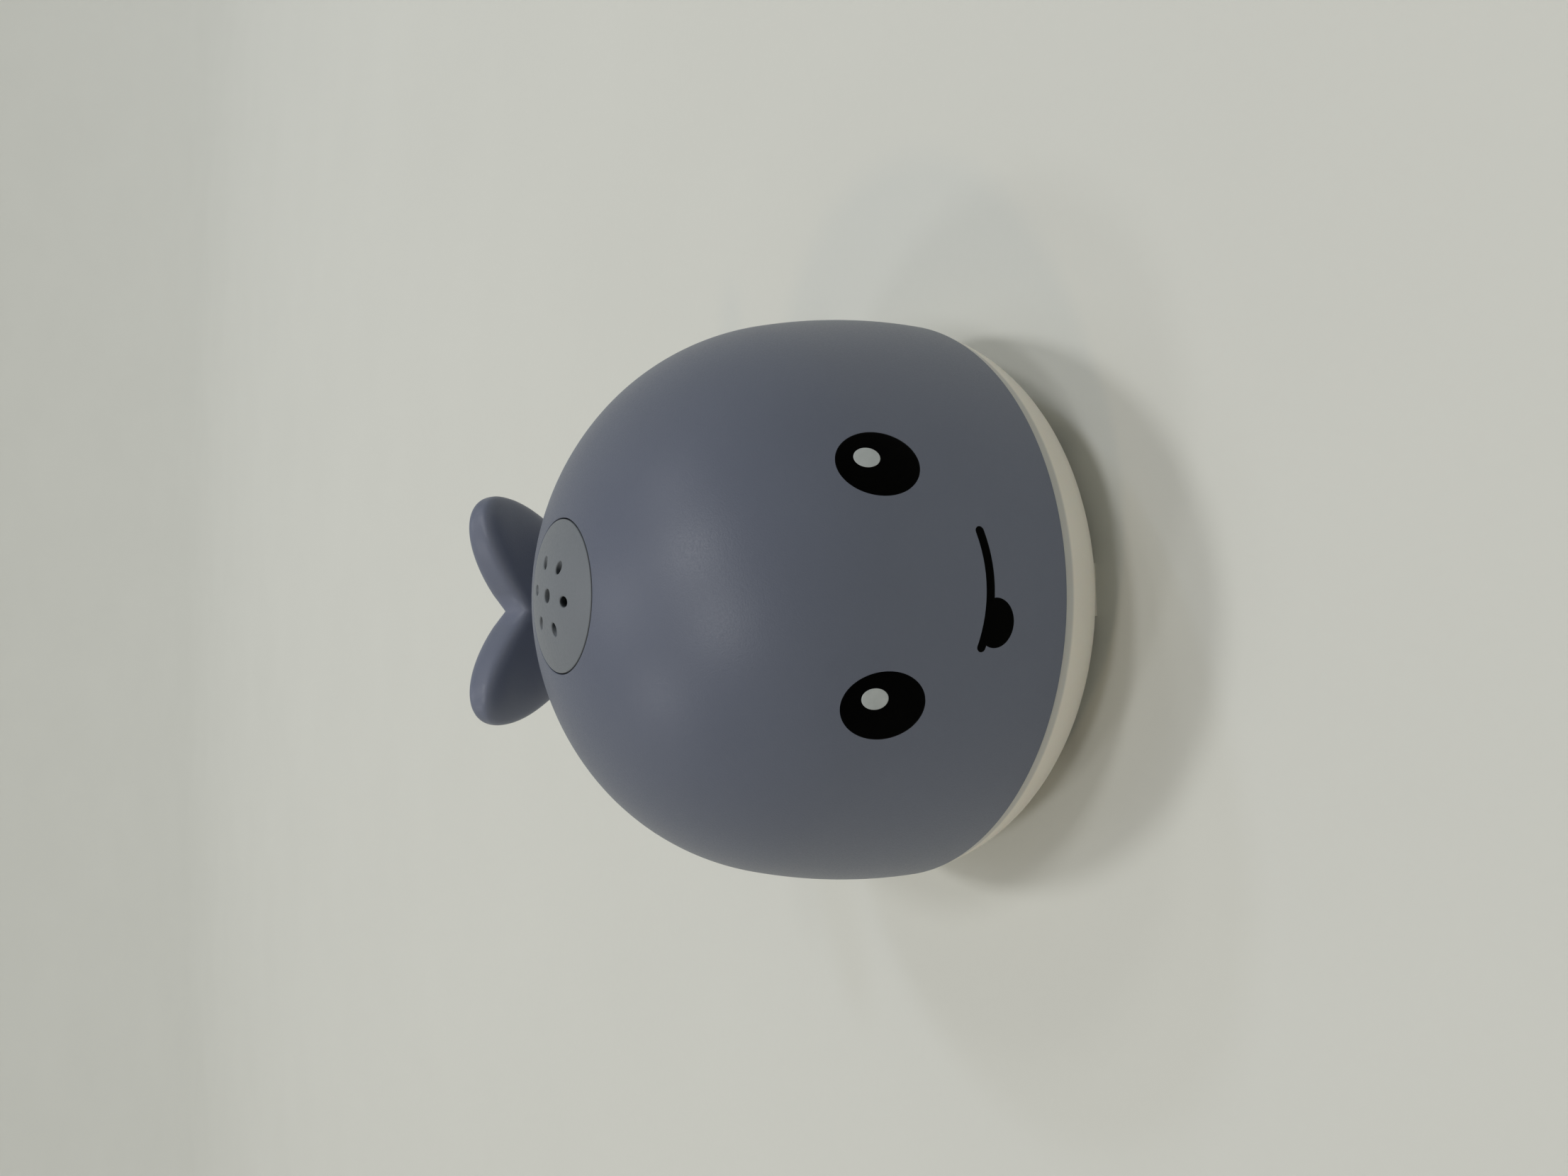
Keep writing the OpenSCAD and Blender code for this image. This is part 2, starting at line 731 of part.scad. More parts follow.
module smile_outline() {
    intersection() {
        translate([0, mouth_r]) difference() {
            circle(r = mouth_r + mouth_line / 2);
            circle(r = mouth_r - mouth_line / 2);
        }
        circle(d = mouth_w + mouth_line);
    }
}

// The tongue print is trimmed along the middle of the mouth line
module tongue_outline() {
    difference() {
        translate([-lick_side, -lick_drop]) oval(lick_w, lick_h);
        translate([0, mouth_r]) circle(r = mouth_r);
    }
}

module mouth_print() {
    color(ink_black) on_axis() intersection() {
        ink_layer(0);
        seen_from_front(0, mouth_drop) translate([mouth_side, 0]) {
            smile_outline();
            tongue_outline();
        }
    }
}

// Spray cap, with holes that lean outwards, and the cup under it
module spray_cap() {
    color(cap_grey) on_axis() rotate([0, 0, cap_turn_deg]) difference() {
        rotate_extrude() difference() {
            union() {
                intersection() {
                    translate([0, cap_dome_z]) circle(r = cap_dome_r);
                    translate([0, cap_under_z]) square([cap_r, cap_top_z - cap_under_z + overrun]);
                }
                translate([0, cap_under_z - cap_skirt_h]) square([skirt_r, cap_skirt_h]);
            }
            translate([0, cap_under_z - cap_skirt_h - overrun])
                square([skirt_r - cap_skirt_t, cap_top_z - cap_top_t - cap_under_z + cap_skirt_h + overrun]);
            translate([skirt_r - cap_seal_groove, cap_seal_z - cap_seal_d / 2])
                square([cap_seal_groove + overrun, cap_seal_d]);
        }
        translate([0, 0, cap_under_z]) cylinder(d = jet_d, h = cap_r);
        for (k = [0 : spray_count - 1]) rotate([0, 0, 360 * k / spray_count])
            translate([0, -spray_ring_r, cap_dome_z + sqrt(cap_dome_r * cap_dome_r - spray_ring_r * spray_ring_r)])
                rotate([spray_lean_deg, 0, 0])
                    cylinder(d = spray_d, h = 4 * cap_top_t, center = true);
    }
}

module cap_seal() {
    color(seal_grey) on_axis() translate([0, 0, cap_seal_z]) rotate_extrude()
        translate([skirt_r - cap_seal_groove + cap_seal_d / 2, 0]) circle(d = cap_seal_d - fit_gap / 3);
}

module nozzle_cup() {
    color(part_white) on_axis() difference() {
        union() {
            rod(cup_r, collar_z, cup_top_z);
            rod(spigot_r, collar_z - spigot_h, collar_z + cup_floor / 2);
        }
        rod(cup_bore_r, cup_floor_z, cup_top_z + overrun);
        rod(spigot_bore_r, collar_z - spigot_h - overrun, cup_floor_z + overrun);
    }
}

// Delivery hose: up from the pump, level over to the axis and up to the cup
module hose_run(r) {
    at_outlet() rotate([0, 0, hose_deg]) {
        rod(r, hose_start_z, hose_run_z - hose_bend);
        translate([hose_bend, 0, hose_run_z - hose_bend]) rotate([90, 0, 0])
            rotate_extrude(angle = 90, start = 90) translate([hose_bend, 0]) circle(r = r);
        translate([hose_bend, 0, hose_run_z]) rotate([0, 90, 0])
            cylinder(r = r, h = hose_span - 2 * hose_bend);
        translate([hose_span - hose_bend, 0, hose_run_z + hose_bend]) rotate([90, 0, 0])
            rotate_extrude(angle = 90, start = 270) translate([hose_bend, 0]) circle(r = r);
        translate([hose_span, 0, 0]) rod(r, hose_run_z + hose_bend, hose_end_z);
    }
}

module delivery_hose() {
    color(hose_clear) on_axis() difference() {
        hose_run(hose_d / 2);
        hose_run(hose_bore / 2);
    }
}

// Base: a bowl with a tongue, feet, screw wells, door opening, intake slots and posts
module base_body() {
    rotate_extrude() difference() {
        union() {
            difference() {
                bowl_profile(0, foot_h);
                bowl_profile(base_wall, floor_in);
            }
            translate([tongue_in, edge_z - tongue_root]) square([tongue_t, tongue_root + tongue_h]);
        }
        translate([tongue_out - seal_groove, base_seal_z - base_seal_d / 2])
            square([seal_groove + overrun, base_seal_d]);
    }
    intersection() {
        at_base_screws() translate([0, 0, foot_h]) cylinder(r = column_r, h = base_corner_r);
        rotate_extrude() bowl_profile(0, foot_h);
    }
    for (a = [0 : 90 : 270]) rotate([0, 0, a]) translate([-foot_w / 2, base_flat_r + foot_h, 0])
        cube([foot_w, foot_l, foot_h + base_wall]);
    at_posts() rod(post_r, foot_h + base_wall, clamp_z);
    at_ears() rod(ear_boss_r, floor_in - base_wall / 4, ear_boss_top_z);
}

module door_outline(grow) {
    rounded_rect(door_l + 2 * grow, door_w + 2 * grow, door_corner_r + grow);
    for (x = [-1, 1]) translate([x * ear_x, 0]) circle(r = ear_r + grow);
    square([2 * ear_x, 2 * (ear_r + grow)], center = true);
}

module plug_outline(shrink) {
    rounded_rect(door_open_l - 2 * shrink, door_open_w - 2 * shrink, door_corner_r - ledge_w);
}

module intake_slots() {
    at_pump() intersection() {
        cylinder(r = intake_r, h = 2 * floor_in);
        for (k = [0 : slot_count - 1])
            translate([-intake_r, (k + 0.5) * slot_pitch - intake_r - slot_w / 2, 0])
                cube([2 * intake_r, slot_w, 2 * floor_in]);
    }
}

module base_shell() {
    color(base_white) on_axis() difference() {
        base_body();
        at_base_screws() {
            rod(well_r, 0, screw_seat_z);
            rod(screw_d / 2 + fit_gap, 0, edge_z + overrun);
        }
        at_door() {
            linear_extrude(foot_h + door_recess) door_outline(slip_gap);
            linear_extrude(floor_in + overrun) plug_outline(0);
        }
        at_ears() rod((small_screw_d + fit_gap) / 2, 0, ear_boss_top_z - small_screw_d / 2);
        at_posts() rod((small_screw_d + fit_gap) / 2, clamp_z - clamp_h, clamp_z + overrun);
        at_studs() {
            rod(stud_d / 2 + fit_gap, 0, floor_in + overrun);
            rod(stud_head_d / 2 + slip_gap, 0, stud_seat_z);
        }
        intake_slots();
    }
}

module base_seal() {
    color(seal_grey) on_axis() translate([0, 0, base_seal_z]) rotate_extrude()
        translate([tongue_out - seal_groove + base_seal_d / 2, 0]) circle(d = base_seal_d - fit_gap / 3);
}

module base_screws() {
    color(steel) on_axis() at_base_screws() translate([0, 0, screw_seat_z])
        screw_up(screw_d, screw_head_d, screw_head_h, boss_top_z - 2 * screw_d - screw_seat_z);
}

// Water sensor: two studs through the floor, each with a seal outside and a nut inside
module sensor_studs() {
    color(steel) on_axis() at_studs() translate([0, 0, foot_h])
        screw_up(stud_d, stud_head_d, stud_head_h, stud_top_z - foot_h);
}

module stud_seals() {
    color(seal_grey) on_axis() at_studs() translate([0, 0, foot_h]) difference() {
        cylinder(d = stud_head_d, h = stud_seal_t);
        translate([0, 0, -overrun]) cylinder(d = stud_d, h = stud_seal_t + 2 * overrun);
    }
}

module stud_nuts() {
    color(steel) on_axis() at_studs() translate([0, 0, floor_in]) difference() {
        cylinder(d = stud_nut_d, h = stud_nut_h, $fn = 6);
        translate([0, 0, -overrun]) cylinder(d = stud_d, h = stud_nut_h + 2 * overrun);
    }
}

// Battery door, its gasket and its captive screws
module battery_door() {
    color(base_white) on_axis() difference() {
        at_door() {
            translate([0, 0, foot_h]) linear_extrude(door_t) door_outline(0);
            translate([0, 0, foot_h]) linear_extrude(base_floor - fit_gap) plug_outline(slip_gap);
        }
        at_ears() {
            rod(small_head_d / 2 + fit_gap, 0, foot_h + door_t / 2);
            rod(small_screw_d / 2 + fit_gap, 0, floor_in);
        }
    }
}

module door_gasket() {
    color(seal_grey) on_axis() at_door() translate([0, 0, foot_h + door_t])
        linear_extrude(gasket_t) difference() {
            rounded_rect(door_l - 2 * fit_gap, door_w - 2 * fit_gap, door_corner_r - fit_gap);
            plug_outline(slip_gap - fit_gap);
        }
}

module door_screws() {
    color(steel) on_axis() at_ears() translate([0, 0, foot_h + door_t / 2])
        screw_up(small_screw_d, small_head_d, small_head_h, door_screw_l);
}

// Battery box with its lid posts, cells and contacts
module battery_box() {
    color(part_white) on_axis() at_door() difference() {
        union() {
            translate([0, 0, floor_in]) linear_extrude(bay_h + box_wall)
                rounded_rect(box_l, box_w, box_corner_r);
            at_board_holes() rod(board_post_r, roof_z, board_z);
        }
        translate([-bay_l / 2, -bay_w / 2, floor_in - overrun]) cube([bay_l, bay_w, bay_h + overrun]);
        at_board_holes() rod((small_screw_d + fit_gap) / 2, roof_z, board_z + overrun);
        for (side = [-1, 1]) translate([side * (bay_l - plate_t) / 2, side * cell_pitch, roof_z])
            cube([plate_t + 2 * fit_gap, tag_w + 2 * fit_gap, 2 * box_wall + overrun], center = true);
    }
}

// A cell, with its button towards -X when way is 1
module cell(row, way) {
    on_axis() at_door() translate([-way * (bay_l / 2 - plate_t - cell_gap / 2), row * cell_pitch, cell_z])
        rotate([0, way * 90, 0]) {
            cylinder(d = cell_button_d, h = cell_button_h + cell_gap);
            translate([0, 0, cell_button_h]) cylinder(d = cell_d, h = cell_l - cell_button_h);
        }
}

module battery_1() {
    color(cell_blue) cell(-1, 1);
}

module battery_2() {
    color(cell_blue) cell(0, -1);
}

module battery_3() {
    color(cell_blue) cell(1, 1);
}

// Contact springs: a cone of round wire between the end plate and the flat end of each cell
spring_rings = 8;
spring_sides = 6;
spring_wide_r = cell_d / 3;
spring_tip_r = cell_d / 5;
module contact_spring() {
    steps = spring_rings * spring_turns;
    run = spring_l - spring_wire - cell_gap / 4;
    points = [for (i = [0 : steps]) let(
            a = 360 * i / spring_rings,
            r = spring_wide_r + (spring_tip_r - spring_wide_r) * i / steps,
            along = cell_gap / 8 + spring_wire / 2 + run * i / steps
        ) for (k = [0 : spring_sides - 1]) let(b = 360 * k / spring_sides, q = r + spring_wire / 2 * cos(b))
            [q * cos(a), q * sin(a), along + spring_wire / 2 * sin(b)]];
    polyhedron(points, ring_faces(steps + 1, spring_sides, true));
}

module battery_springs() {
    color(steel) on_axis() at_door() for (row = [-1, 0, 1]) let(way = row == 0 ? -1 : 1)
        translate([way * (bay_l / 2 - plate_t), row * cell_pitch, cell_z]) rotate([0, -way * 90, 0])
            contact_spring();
}

// Contact plates: one for each end cell, with a tag through the roof, and one that joins each other pair
module contact_plate(side, row, cells) {
    translate([side * (bay_l - plate_t) / 2, row * cell_pitch, floor_in + cell_gap + plate_h / 2])
        cube([plate_t - fit_gap / 3, cells * cell_pitch - 2 * cell_gap, plate_h], center = true);
}

module battery_plates() {
    color(brass_tone) on_axis() at_door() for (side = [-1, 1]) {
        contact_plate(side, side, 1);
        contact_plate(side, -side / 2, 2);
        translate([side * (bay_l - plate_t) / 2, side * cell_pitch, (cell_z + tag_top_z) / 2])
            cube([plate_t - fit_gap / 3, tag_w, tag_top_z - cell_z], center = true);
    }
}

// Pump housing on the base's floor, with its outlet spigot
module pump_duct(r) {
    at_pump() translate([0, 0, outlet_z]) rotate([0, 90, outlet_deg]) cylinder(r = r, h = outlet_l);
}

module pump_housing() {
    color(part_white) on_axis() difference() {
        union() {
            at_pump() rod(volute_r, floor_in, volute_z);
            at_outlet() rod(hose_d / 2, floor_in, outlet_top_z);
            at_outlet() rod(spigot_r, outlet_z, outlet_top_z + spigot_h);
            pump_duct(duct_r);
        }
        at_pump() {
            rod(chamber_r, floor_in - overrun, chamber_top_z);
            rod(shaft_d / 2 + 2 * shaft_gap, chamber_top_z - overrun, volute_z + overrun);
            rod(seal_r, volute_z - seal_h, volute_z + overrun);
        }
        at_outlet() rod(spigot_bore_r, outlet_z - spigot_bore_r, outlet_top_z + spigot_h + overrun);
        pump_duct(duct_bore_r);
    }
}

module impeller() {
    color(seal_grey) on_axis() at_pump() difference() {
        union() {
            rod(hub_r, impeller_z, impeller_top_z);
            rod(impeller_r, impeller_top_z - impeller_disc_t, impeller_top_z);
            for (k = [0 : vane_count - 1]) rotate([0, 0, 360 * (k + 1 / 4) / vane_count])
                translate([vane_in_r, -vane_t / 2, vane_z])
                    cube([vane_out_r - vane_in_r, vane_t, impeller_top_z - vane_z - impeller_disc_t / 2]);
        }
        rod(shaft_d / 2, shaft_z, volute_z);
    }
}

module shaft_seal() {
    color(ink_black) on_axis() at_pump() translate([0, 0, volute_z - seal_h]) difference() {
        cylinder(r = seal_r, h = seal_h);
        translate([0, 0, -overrun]) cylinder(d = shaft_d + 2 * shaft_gap, h = seal_h + 2 * overrun);
    }
}

// Motor
module motor_shaft() {
    color(steel) on_axis() at_pump() rod(shaft_d / 2, shaft_z, shaft_top_z);
}

module motor_armature() {
    color(brass_tone) on_axis() at_pump() difference() {
        union() {
            rod(armature_r, armature_z, armature_top_z);
            rod(commutator_r, armature_z, commutator_top_z);
        }
        rod(shaft_d / 2, armature_z - overrun, motor_top_z);
        for (k = [0 : 2]) rotate([0, 0, 120 * k]) translate([armature_r, 0, 0])
            rod(armature_r / 4, armature_z - overrun, armature_top_z + overrun);
    }
}

module motor_can() {
    color(steel) on_axis() at_pump() difference() {
        rod(can_r, volute_z, motor_top_z);
        rod(can_in_r, volute_z + can_t, motor_top_z + overrun);
        rod(bush_r, volute_z - overrun, volute_z + can_t + overrun);
    }
}

module motor_magnets() {
    color(magnet_grey) on_axis() at_pump() for (a = [20, 200]) translate([0, 0, armature_z])
        rotate_extrude(angle = 140, start = a) translate([magnet_r - magnet_t, 0])
            square([magnet_t, armature_top_z - armature_z]);
}

module motor_bushes() {
    color(brass_tone) on_axis() at_pump() for (z = [volute_z, motor_top_z]) difference() {
        rod(bush_r, z, z + bush_h);
        rod(shaft_d / 2 + shaft_gap, z - overrun, z + bush_h + overrun);
    }
}

module motor_end_cap() {
    color(ink_black) on_axis() at_pump() difference() {
        union() {
            rod(can_r, motor_top_z, motor_top_z + motor_cap_h);
            rod(can_in_r - fit_gap / 3, motor_top_z - motor_plug_h, motor_top_z + can_t);
        }
        rod(bush_r, motor_top_z - motor_plug_h - overrun, motor_top_z + bush_h);
    }
}

module motor_terminals() {
    color(brass_tone) on_axis() at_pump() for (x = [-1, 1])
        translate([x * terminal_x, 0, terminal_top_z - shaft_d / 2])
            cube([lead_d * 1.5, lead_d * 1.5, shaft_d], center = true);
}

module motor_clamp() {
    color(part_white) on_axis() difference() {
        union() {
            at_pump() rod(clamp_in_r + clamp_t, clamp_z, clamp_z + clamp_h);
            at_posts() rod(clamp_ear_r, clamp_z, clamp_z + clamp_ear_t);
            at_pump() translate([-post_x, -clamp_ear_r, clamp_z])
                cube([2 * post_x, 2 * clamp_ear_r, clamp_ear_t]);
        }
        at_pump() rod(clamp_in_r, clamp_z - overrun, clamp_z + clamp_h + overrun);
        at_posts() rod(small_screw_d / 2 + fit_gap, clamp_z - overrun, clamp_z + clamp_h + overrun);
    }
}

module clamp_screws() {
    color(steel) on_axis() at_posts() translate([0, 0, clamp_z + clamp_ear_t]) rotate([180, 0, 0])
        screw_up(small_screw_d, small_head_d, small_head_h, clamp_ear_t + clamp_h - small_screw_d / 2);
}

// Circuit board over the battery box
module circuit_board() {
    color(board_green) on_axis() at_door() difference() {
        translate([-board_l / 2, -board_w / 2, board_z]) cube([board_l, board_w, board_t]);
        at_board_holes() rod(small_screw_d / 2 + fit_gap, board_z - overrun, board_top_z + overrun);
    }
}

module board_screws() {
    color(steel) on_axis() at_door() at_board_holes() translate([0, 0, board_top_z]) rotate([180, 0, 0])
        screw_up(small_screw_d, small_head_d, small_head_h, board_t + board_post_h);
}

module control_chip() {
    color(ink_black) on_axis() at_door() translate([-chip_size[0] / 2, -chip_size[1] / 2, board_top_z])
        cube(chip_size);
}

module lamps() {
    color(lamp_clear) on_axis() at_door() for (x = [-1, 0, 1])
        translate([x * lamp_spread, x == 0 ? board_hole_y : 0, board_top_z]) {
            cylinder(d = lamp_d, h = lamp_h - lamp_d / 2);
            translate([0, 0, lamp_h - lamp_d / 2]) sphere(d = lamp_d);
        }
}

// Leads from the board to the battery tags, the motor and the sensor studs
lead_edge_x = board_l / 2 - lead_d;
lead_front_y = door_back - board_w / 2 + lead_d;
module battery_leads() {
    color(lead_red) on_axis() for (side = [-1, 1])
        lead([side * lead_edge_x, door_back + side * board_w / 8, board_top_z],
            [side * (bay_l - plate_t) / 2, door_back + side * cell_pitch, tag_top_z], lamp_h);
}

module motor_leads() {
    color(lead_red) on_axis() for (side = [-1, 1])
        lead([side * board_hole_x / 2, lead_front_y, board_top_z],
            [side * terminal_x, -pump_front, terminal_top_z], motor_l);
}

module sensor_leads() {
    color(lead_yellow) on_axis() for (side = [-1, 1])
        lead([side * (board_hole_x - small_head_d), lead_front_y, board_top_z],
            [side * stud_side, -stud_front, stud_top_z], motor_l / 2);
}

upper_shell();
tail();
tail_screw();
eye_print_left();
eye_print_right();
eye_glints();
mouth_print();
spray_cap();
cap_seal();
nozzle_cup();
delivery_hose();
base_shell();
base_seal();
base_screws();
sensor_studs();
stud_seals();
stud_nuts();
battery_door();
door_gasket();
door_screws();
battery_box();
battery_1();
battery_2();
battery_3();
battery_springs();
battery_plates();
pump_housing();
impeller();
shaft_seal();
motor_shaft();
motor_armature();
motor_can();
motor_magnets();
motor_bushes();
motor_end_cap();
motor_terminals();
motor_clamp();
clamp_screws();
circuit_board();
board_screws();
control_chip();
lamps();
battery_leads();
motor_leads();
sensor_leads();
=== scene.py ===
"""Looks of a spraying whale bath toy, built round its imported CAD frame, in metres."""
import json
import math

import bmesh
import bpy
import numpy as np
from mathutils import Matrix, Vector


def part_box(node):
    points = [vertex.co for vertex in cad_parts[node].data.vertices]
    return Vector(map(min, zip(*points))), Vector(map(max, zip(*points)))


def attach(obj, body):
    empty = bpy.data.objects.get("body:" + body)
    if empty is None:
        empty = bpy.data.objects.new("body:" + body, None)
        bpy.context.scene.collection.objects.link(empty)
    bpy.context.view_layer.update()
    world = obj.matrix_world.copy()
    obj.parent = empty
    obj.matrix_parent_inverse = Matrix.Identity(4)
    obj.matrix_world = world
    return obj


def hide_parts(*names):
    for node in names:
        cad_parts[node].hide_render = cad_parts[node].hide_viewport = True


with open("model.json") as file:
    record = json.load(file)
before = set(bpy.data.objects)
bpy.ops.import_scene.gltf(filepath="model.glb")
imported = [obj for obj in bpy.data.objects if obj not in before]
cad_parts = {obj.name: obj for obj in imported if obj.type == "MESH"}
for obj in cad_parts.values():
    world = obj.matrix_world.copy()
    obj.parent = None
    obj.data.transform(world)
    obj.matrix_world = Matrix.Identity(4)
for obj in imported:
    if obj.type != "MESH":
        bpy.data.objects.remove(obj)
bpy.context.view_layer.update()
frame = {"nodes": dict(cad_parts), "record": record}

MM = 0.001
shell_low, shell_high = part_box("upper_shell")
AXIS_Y = (shell_low.y + shell_high.y) / 2

# Points nearer than this are one point: along an outline, and in a mesh
OUTLINE_GAP = 1e-4 * MM
MERGE_GAP = 0.002 * MM

# Sizes of the body, repeated from the part's source
BODY_R = 48 * MM
EDGE_Z = 16.5 * MM
EQUATOR_Z = 17.3 * MM
SHELL_WALL = 2.4 * MM
CROWN_R = 48 * MM
SIDE_R = 100 * MM
CROWN_TURN = math.radians(40)
SHOULDER_TURN = math.radians(75)
SHOULDER_R = (
    BODY_R - CROWN_R * math.sin(CROWN_TURN) - SIDE_R * (1 - math.sin(SHOULDER_TURN))
) / (math.sin(SHOULDER_TURN) - math.sin(CROWN_TURN))
DOME_H = (
    CROWN_R
    - (CROWN_R - SHOULDER_R) * math.cos(CROWN_TURN)
    - (SHOULDER_R - SIDE_R) * math.cos(SHOULDER_TURN)
)
TOP_Z = EQUATOR_Z + DOME_H
CROWN_C = np.array([0, TOP_Z - CROWN_R])
SHOULDER_C = CROWN_C + (CROWN_R - SHOULDER_R) * np.array(
    [math.sin(CROWN_TURN), math.cos(CROWN_TURN)]
)
SIDE_C = SHOULDER_C + (SHOULDER_R - SIDE_R) * np.array(
    [math.sin(SHOULDER_TURN), math.cos(SHOULDER_TURN)]
)
SHELL_SIDES = 256

# Small rounded edges of the shell: the opening's lip, the lower edge outside and inside, the seat
LIP_EASE = 0.2 * MM
EDGE_OUT_EASE = 0.3 * MM
EDGE_IN_EASE = 0.25 * MM
SEAT_EASE = 0.12 * MM

# Sizes of the cap and its seat
CAP_R = 11.71 * MM
OPEN_R = 11.89 * MM
CAP_DOME_R = 32 * MM
CAP_EDGE_T = 2.2 * MM
CAP_TOP_T = 2.2 * MM
CAP_UNDER_Z = CROWN_C[1] + math.sqrt(CROWN_R**2 - CAP_R**2) - CAP_EDGE_T
CAP_DOME_Z = CAP_UNDER_Z + CAP_EDGE_T - math.sqrt(CAP_DOME_R**2 - CAP_R**2)
CEILING_Z = CAP_DOME_Z + CAP_DOME_R - CAP_TOP_T
SEAT_R = 12.7 * MM
COLLAR_R = 14.5 * MM
COLLAR_Z = 64.392 * MM
SKIRT_R = 9.55 * MM
SKIRT_IN_R = 7.85 * MM
SKIRT_H = 4.6 * MM
SKIRT_Z = CAP_UNDER_Z - SKIRT_H
GROOVE_DEPTH = 0.975 * MM
GROOVE_R = SKIRT_R - GROOVE_DEPTH
GROOVE_H = 1.2 * MM
CAP_TURN = math.radians(-12)
SPRAY_COUNT = 6
SPRAY_RING_R = 5.4 * MM
SPRAY_R = 0.8 * MM
JET_R = 1.05 * MM
SPRAY_LEAN = math.radians(50)

# The cap's grid: six sectors between two radii, on the crown and on the ceiling, and their cells
CROWN_IN_R = 2.3 * MM
CROWN_OUT_R = 8.6 * MM
CEILING_IN_R = 1.65 * MM
CEILING_OUT_R = 6.2 * MM
CAP_CELLS = 16
CAP_STEPS = 1 + 2 / CAP_CELLS * np.arange(SPRAY_COUNT * CAP_CELLS)
CAP_ANGLES = CAP_TURN + math.pi / SPRAY_COUNT * CAP_STEPS[None]
SECTOR_POWER = 1.4

# Small rounded edges of the cap: the holes at the top and at the ceiling, the rim, the skirt.
# A hole's edge follows a quarter circle in five points.
MOUTH_EASE = 0.22 * MM
CEILING_EASE = 0.1 * MM
CAP_RIM_EASE = 0.12 * MM
SKIRT_EASE = 0.1 * MM
QUARTER_ROUND = np.array([0, 0.07, 0.29, 0.62, 1])[:, None]

# Sizes of the tail. Its sweep is 0.05 mm under the source's: the finer mesh stays in the CAD box.
FLUKE_SPAN = 45 * MM
FLUKE_T = 9 * MM
TAIL_ROOT_R = 8.3 * MM
TAIL_Z = EQUATOR_Z + 23.5 * MM
TAIL_SEAT_Y = BODY_R - SHELL_WALL - 6.5 * MM
TAIL_EXIT_Y = BODY_R - SHELL_WALL / 2
TAIL_SWEEP = 17.45 * MM
TAIL_RISE = 29.5 * MM
TAIL_CURL = 10.5 * MM
BEND_SWEEP_SHARE = 2 / 3
BEND_RISE_SHARE = 9 / 20
NOTCH_SHARE = 0.813
TIP_LIFT_SHARE = 0.157
ROUND_SHARE = 0.9
TIP_THIN_SHARE = 0.14
LOBE_POWER = 0.53
EDGE_POWER = 3.4
FLARE_POWER = 4
PLATE_POWER = 3.4
ROOT_R_SHARES = np.array([0, 0.5, 0.96, 1, 1])[:, None]
ROOT_DEPTHS = np.array([0, 0, 0, 0.3, 3])[:, None] * MM

# Sizes of the printed face
EYE_W = 10 * MM
EYE_H = 11.6 * MM
EYE_TURN = math.radians(22.1)
EYE_Z = TOP_Z - 31.5 * MM
EYE_LEAN = math.radians(15)
GLINT_W = 3.1 * MM
GLINT_H = 3.6 * MM
GLINT_SIDE = 0.95 * MM
GLINT_UP = 1.5 * MM
MOUTH_W = 16.1 * MM
MOUTH_SIDE = -0.8 * MM
MOUTH_R = 30 * MM
MOUTH_LINE = 1.35 * MM
MOUTH_Z = TOP_Z - 45.6 * MM
LICK_W = 7 * MM
LICK_H = 6 * MM
LICK_SIDE = 4.7 * MM
LICK_DROP = 1 * MM
INK_T = 0.05 * MM
INK_UNDER = -0.1 * MM
INK_EDGE_POWER = 8

# Noise in the finishes: how much detail it has, and the span that the grain's values keep to
PATCH_DETAIL = 3.0
GRAIN_DETAIL = 2.0
GRAIN_SPAN = (0.3, 0.7)
# Painted shade on the rim of the base: its tone, and the heights under the shell's edge between
# which it fades
BASE_RIM_SHADE_TONE = "#b8b7b3"
BASE_RIM_SHADE_FADE = (1.4 * MM, 2.1 * MM)
# Faces of the base and the door that meet at more than this keep a sharp edge
SHARP_TURN = math.radians(32)

# Sizes of the floor: rows of its flat from the opening under the toy, and the bend up to the wall
FLOOR_FLAT_RADII = (0.029, 0.06, 0.12, 0.3, 0.8)
FLOOR_BEND_START = 1.3
FLOOR_BEND_R = 0.7
FLOOR_WALL_TOP = 1.9
FLOOR_SIDES = 96


def grid_quads(rows, columns, ring_rows=False, ring_columns=False):
    """Quads between the neighbours in a grid; a ring joins the last row or column to the first."""
    row, column = np.meshgrid(
        np.arange(rows - (not ring_rows)), np.arange(columns - (not ring_columns)), indexing="ij"
    )
    next_row, next_column = (row + 1) % rows, (column + 1) % columns
    corners = [
        row * columns + column,
        row * columns + next_column,
        next_row * columns + next_column,
        next_row * columns + column,
    ]
    return np.stack(corners, -1).reshape(-1, 4)


def new_piece(name, grids, material, body, nodes=()):
    """One closed mesh at the origin, from grids of points and faces, that rides on its body.

    Doubled points are merged and the faces turned outwards. The piece stands for its CAD nodes,
    which it hides.
    """
    starts = np.cumsum([0] + [len(points) for points, _ in grids])
    points = np.concatenate([points for points, _ in grids])
    faces = np.concatenate([faces + start for (_, faces), start in zip(grids, starts)])
    mesh = bpy.data.meshes.new(name)
    mesh.from_pydata(points.tolist(), [], faces.tolist())
    work = bmesh.new()
    work.from_mesh(mesh)
    bmesh.ops.remove_doubles(work, verts=work.verts, dist=MERGE_GAP)
    bmesh.ops.recalc_face_normals(work, faces=work.faces)
    work.to_mesh(mesh)
    work.free()
    mesh.shade_smooth()
    mesh.materials.append(material)
    piece = bpy.data.objects.new(name, mesh)
    bpy.context.scene.collection.objects.link(piece)
    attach(piece, body)
    if nodes:
        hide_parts(*nodes)
    return piece


def flat_faces_first(piece):
    """Weights normals by face area, so small rounded edges don't bend the shading of wide faces."""
    weighted = piece.modifiers.new("edge normals", "WEIGHTED_NORMAL")
    weighted.mode = "FACE_AREA"
    weighted.weight = 100
    weighted.keep_sharp = True


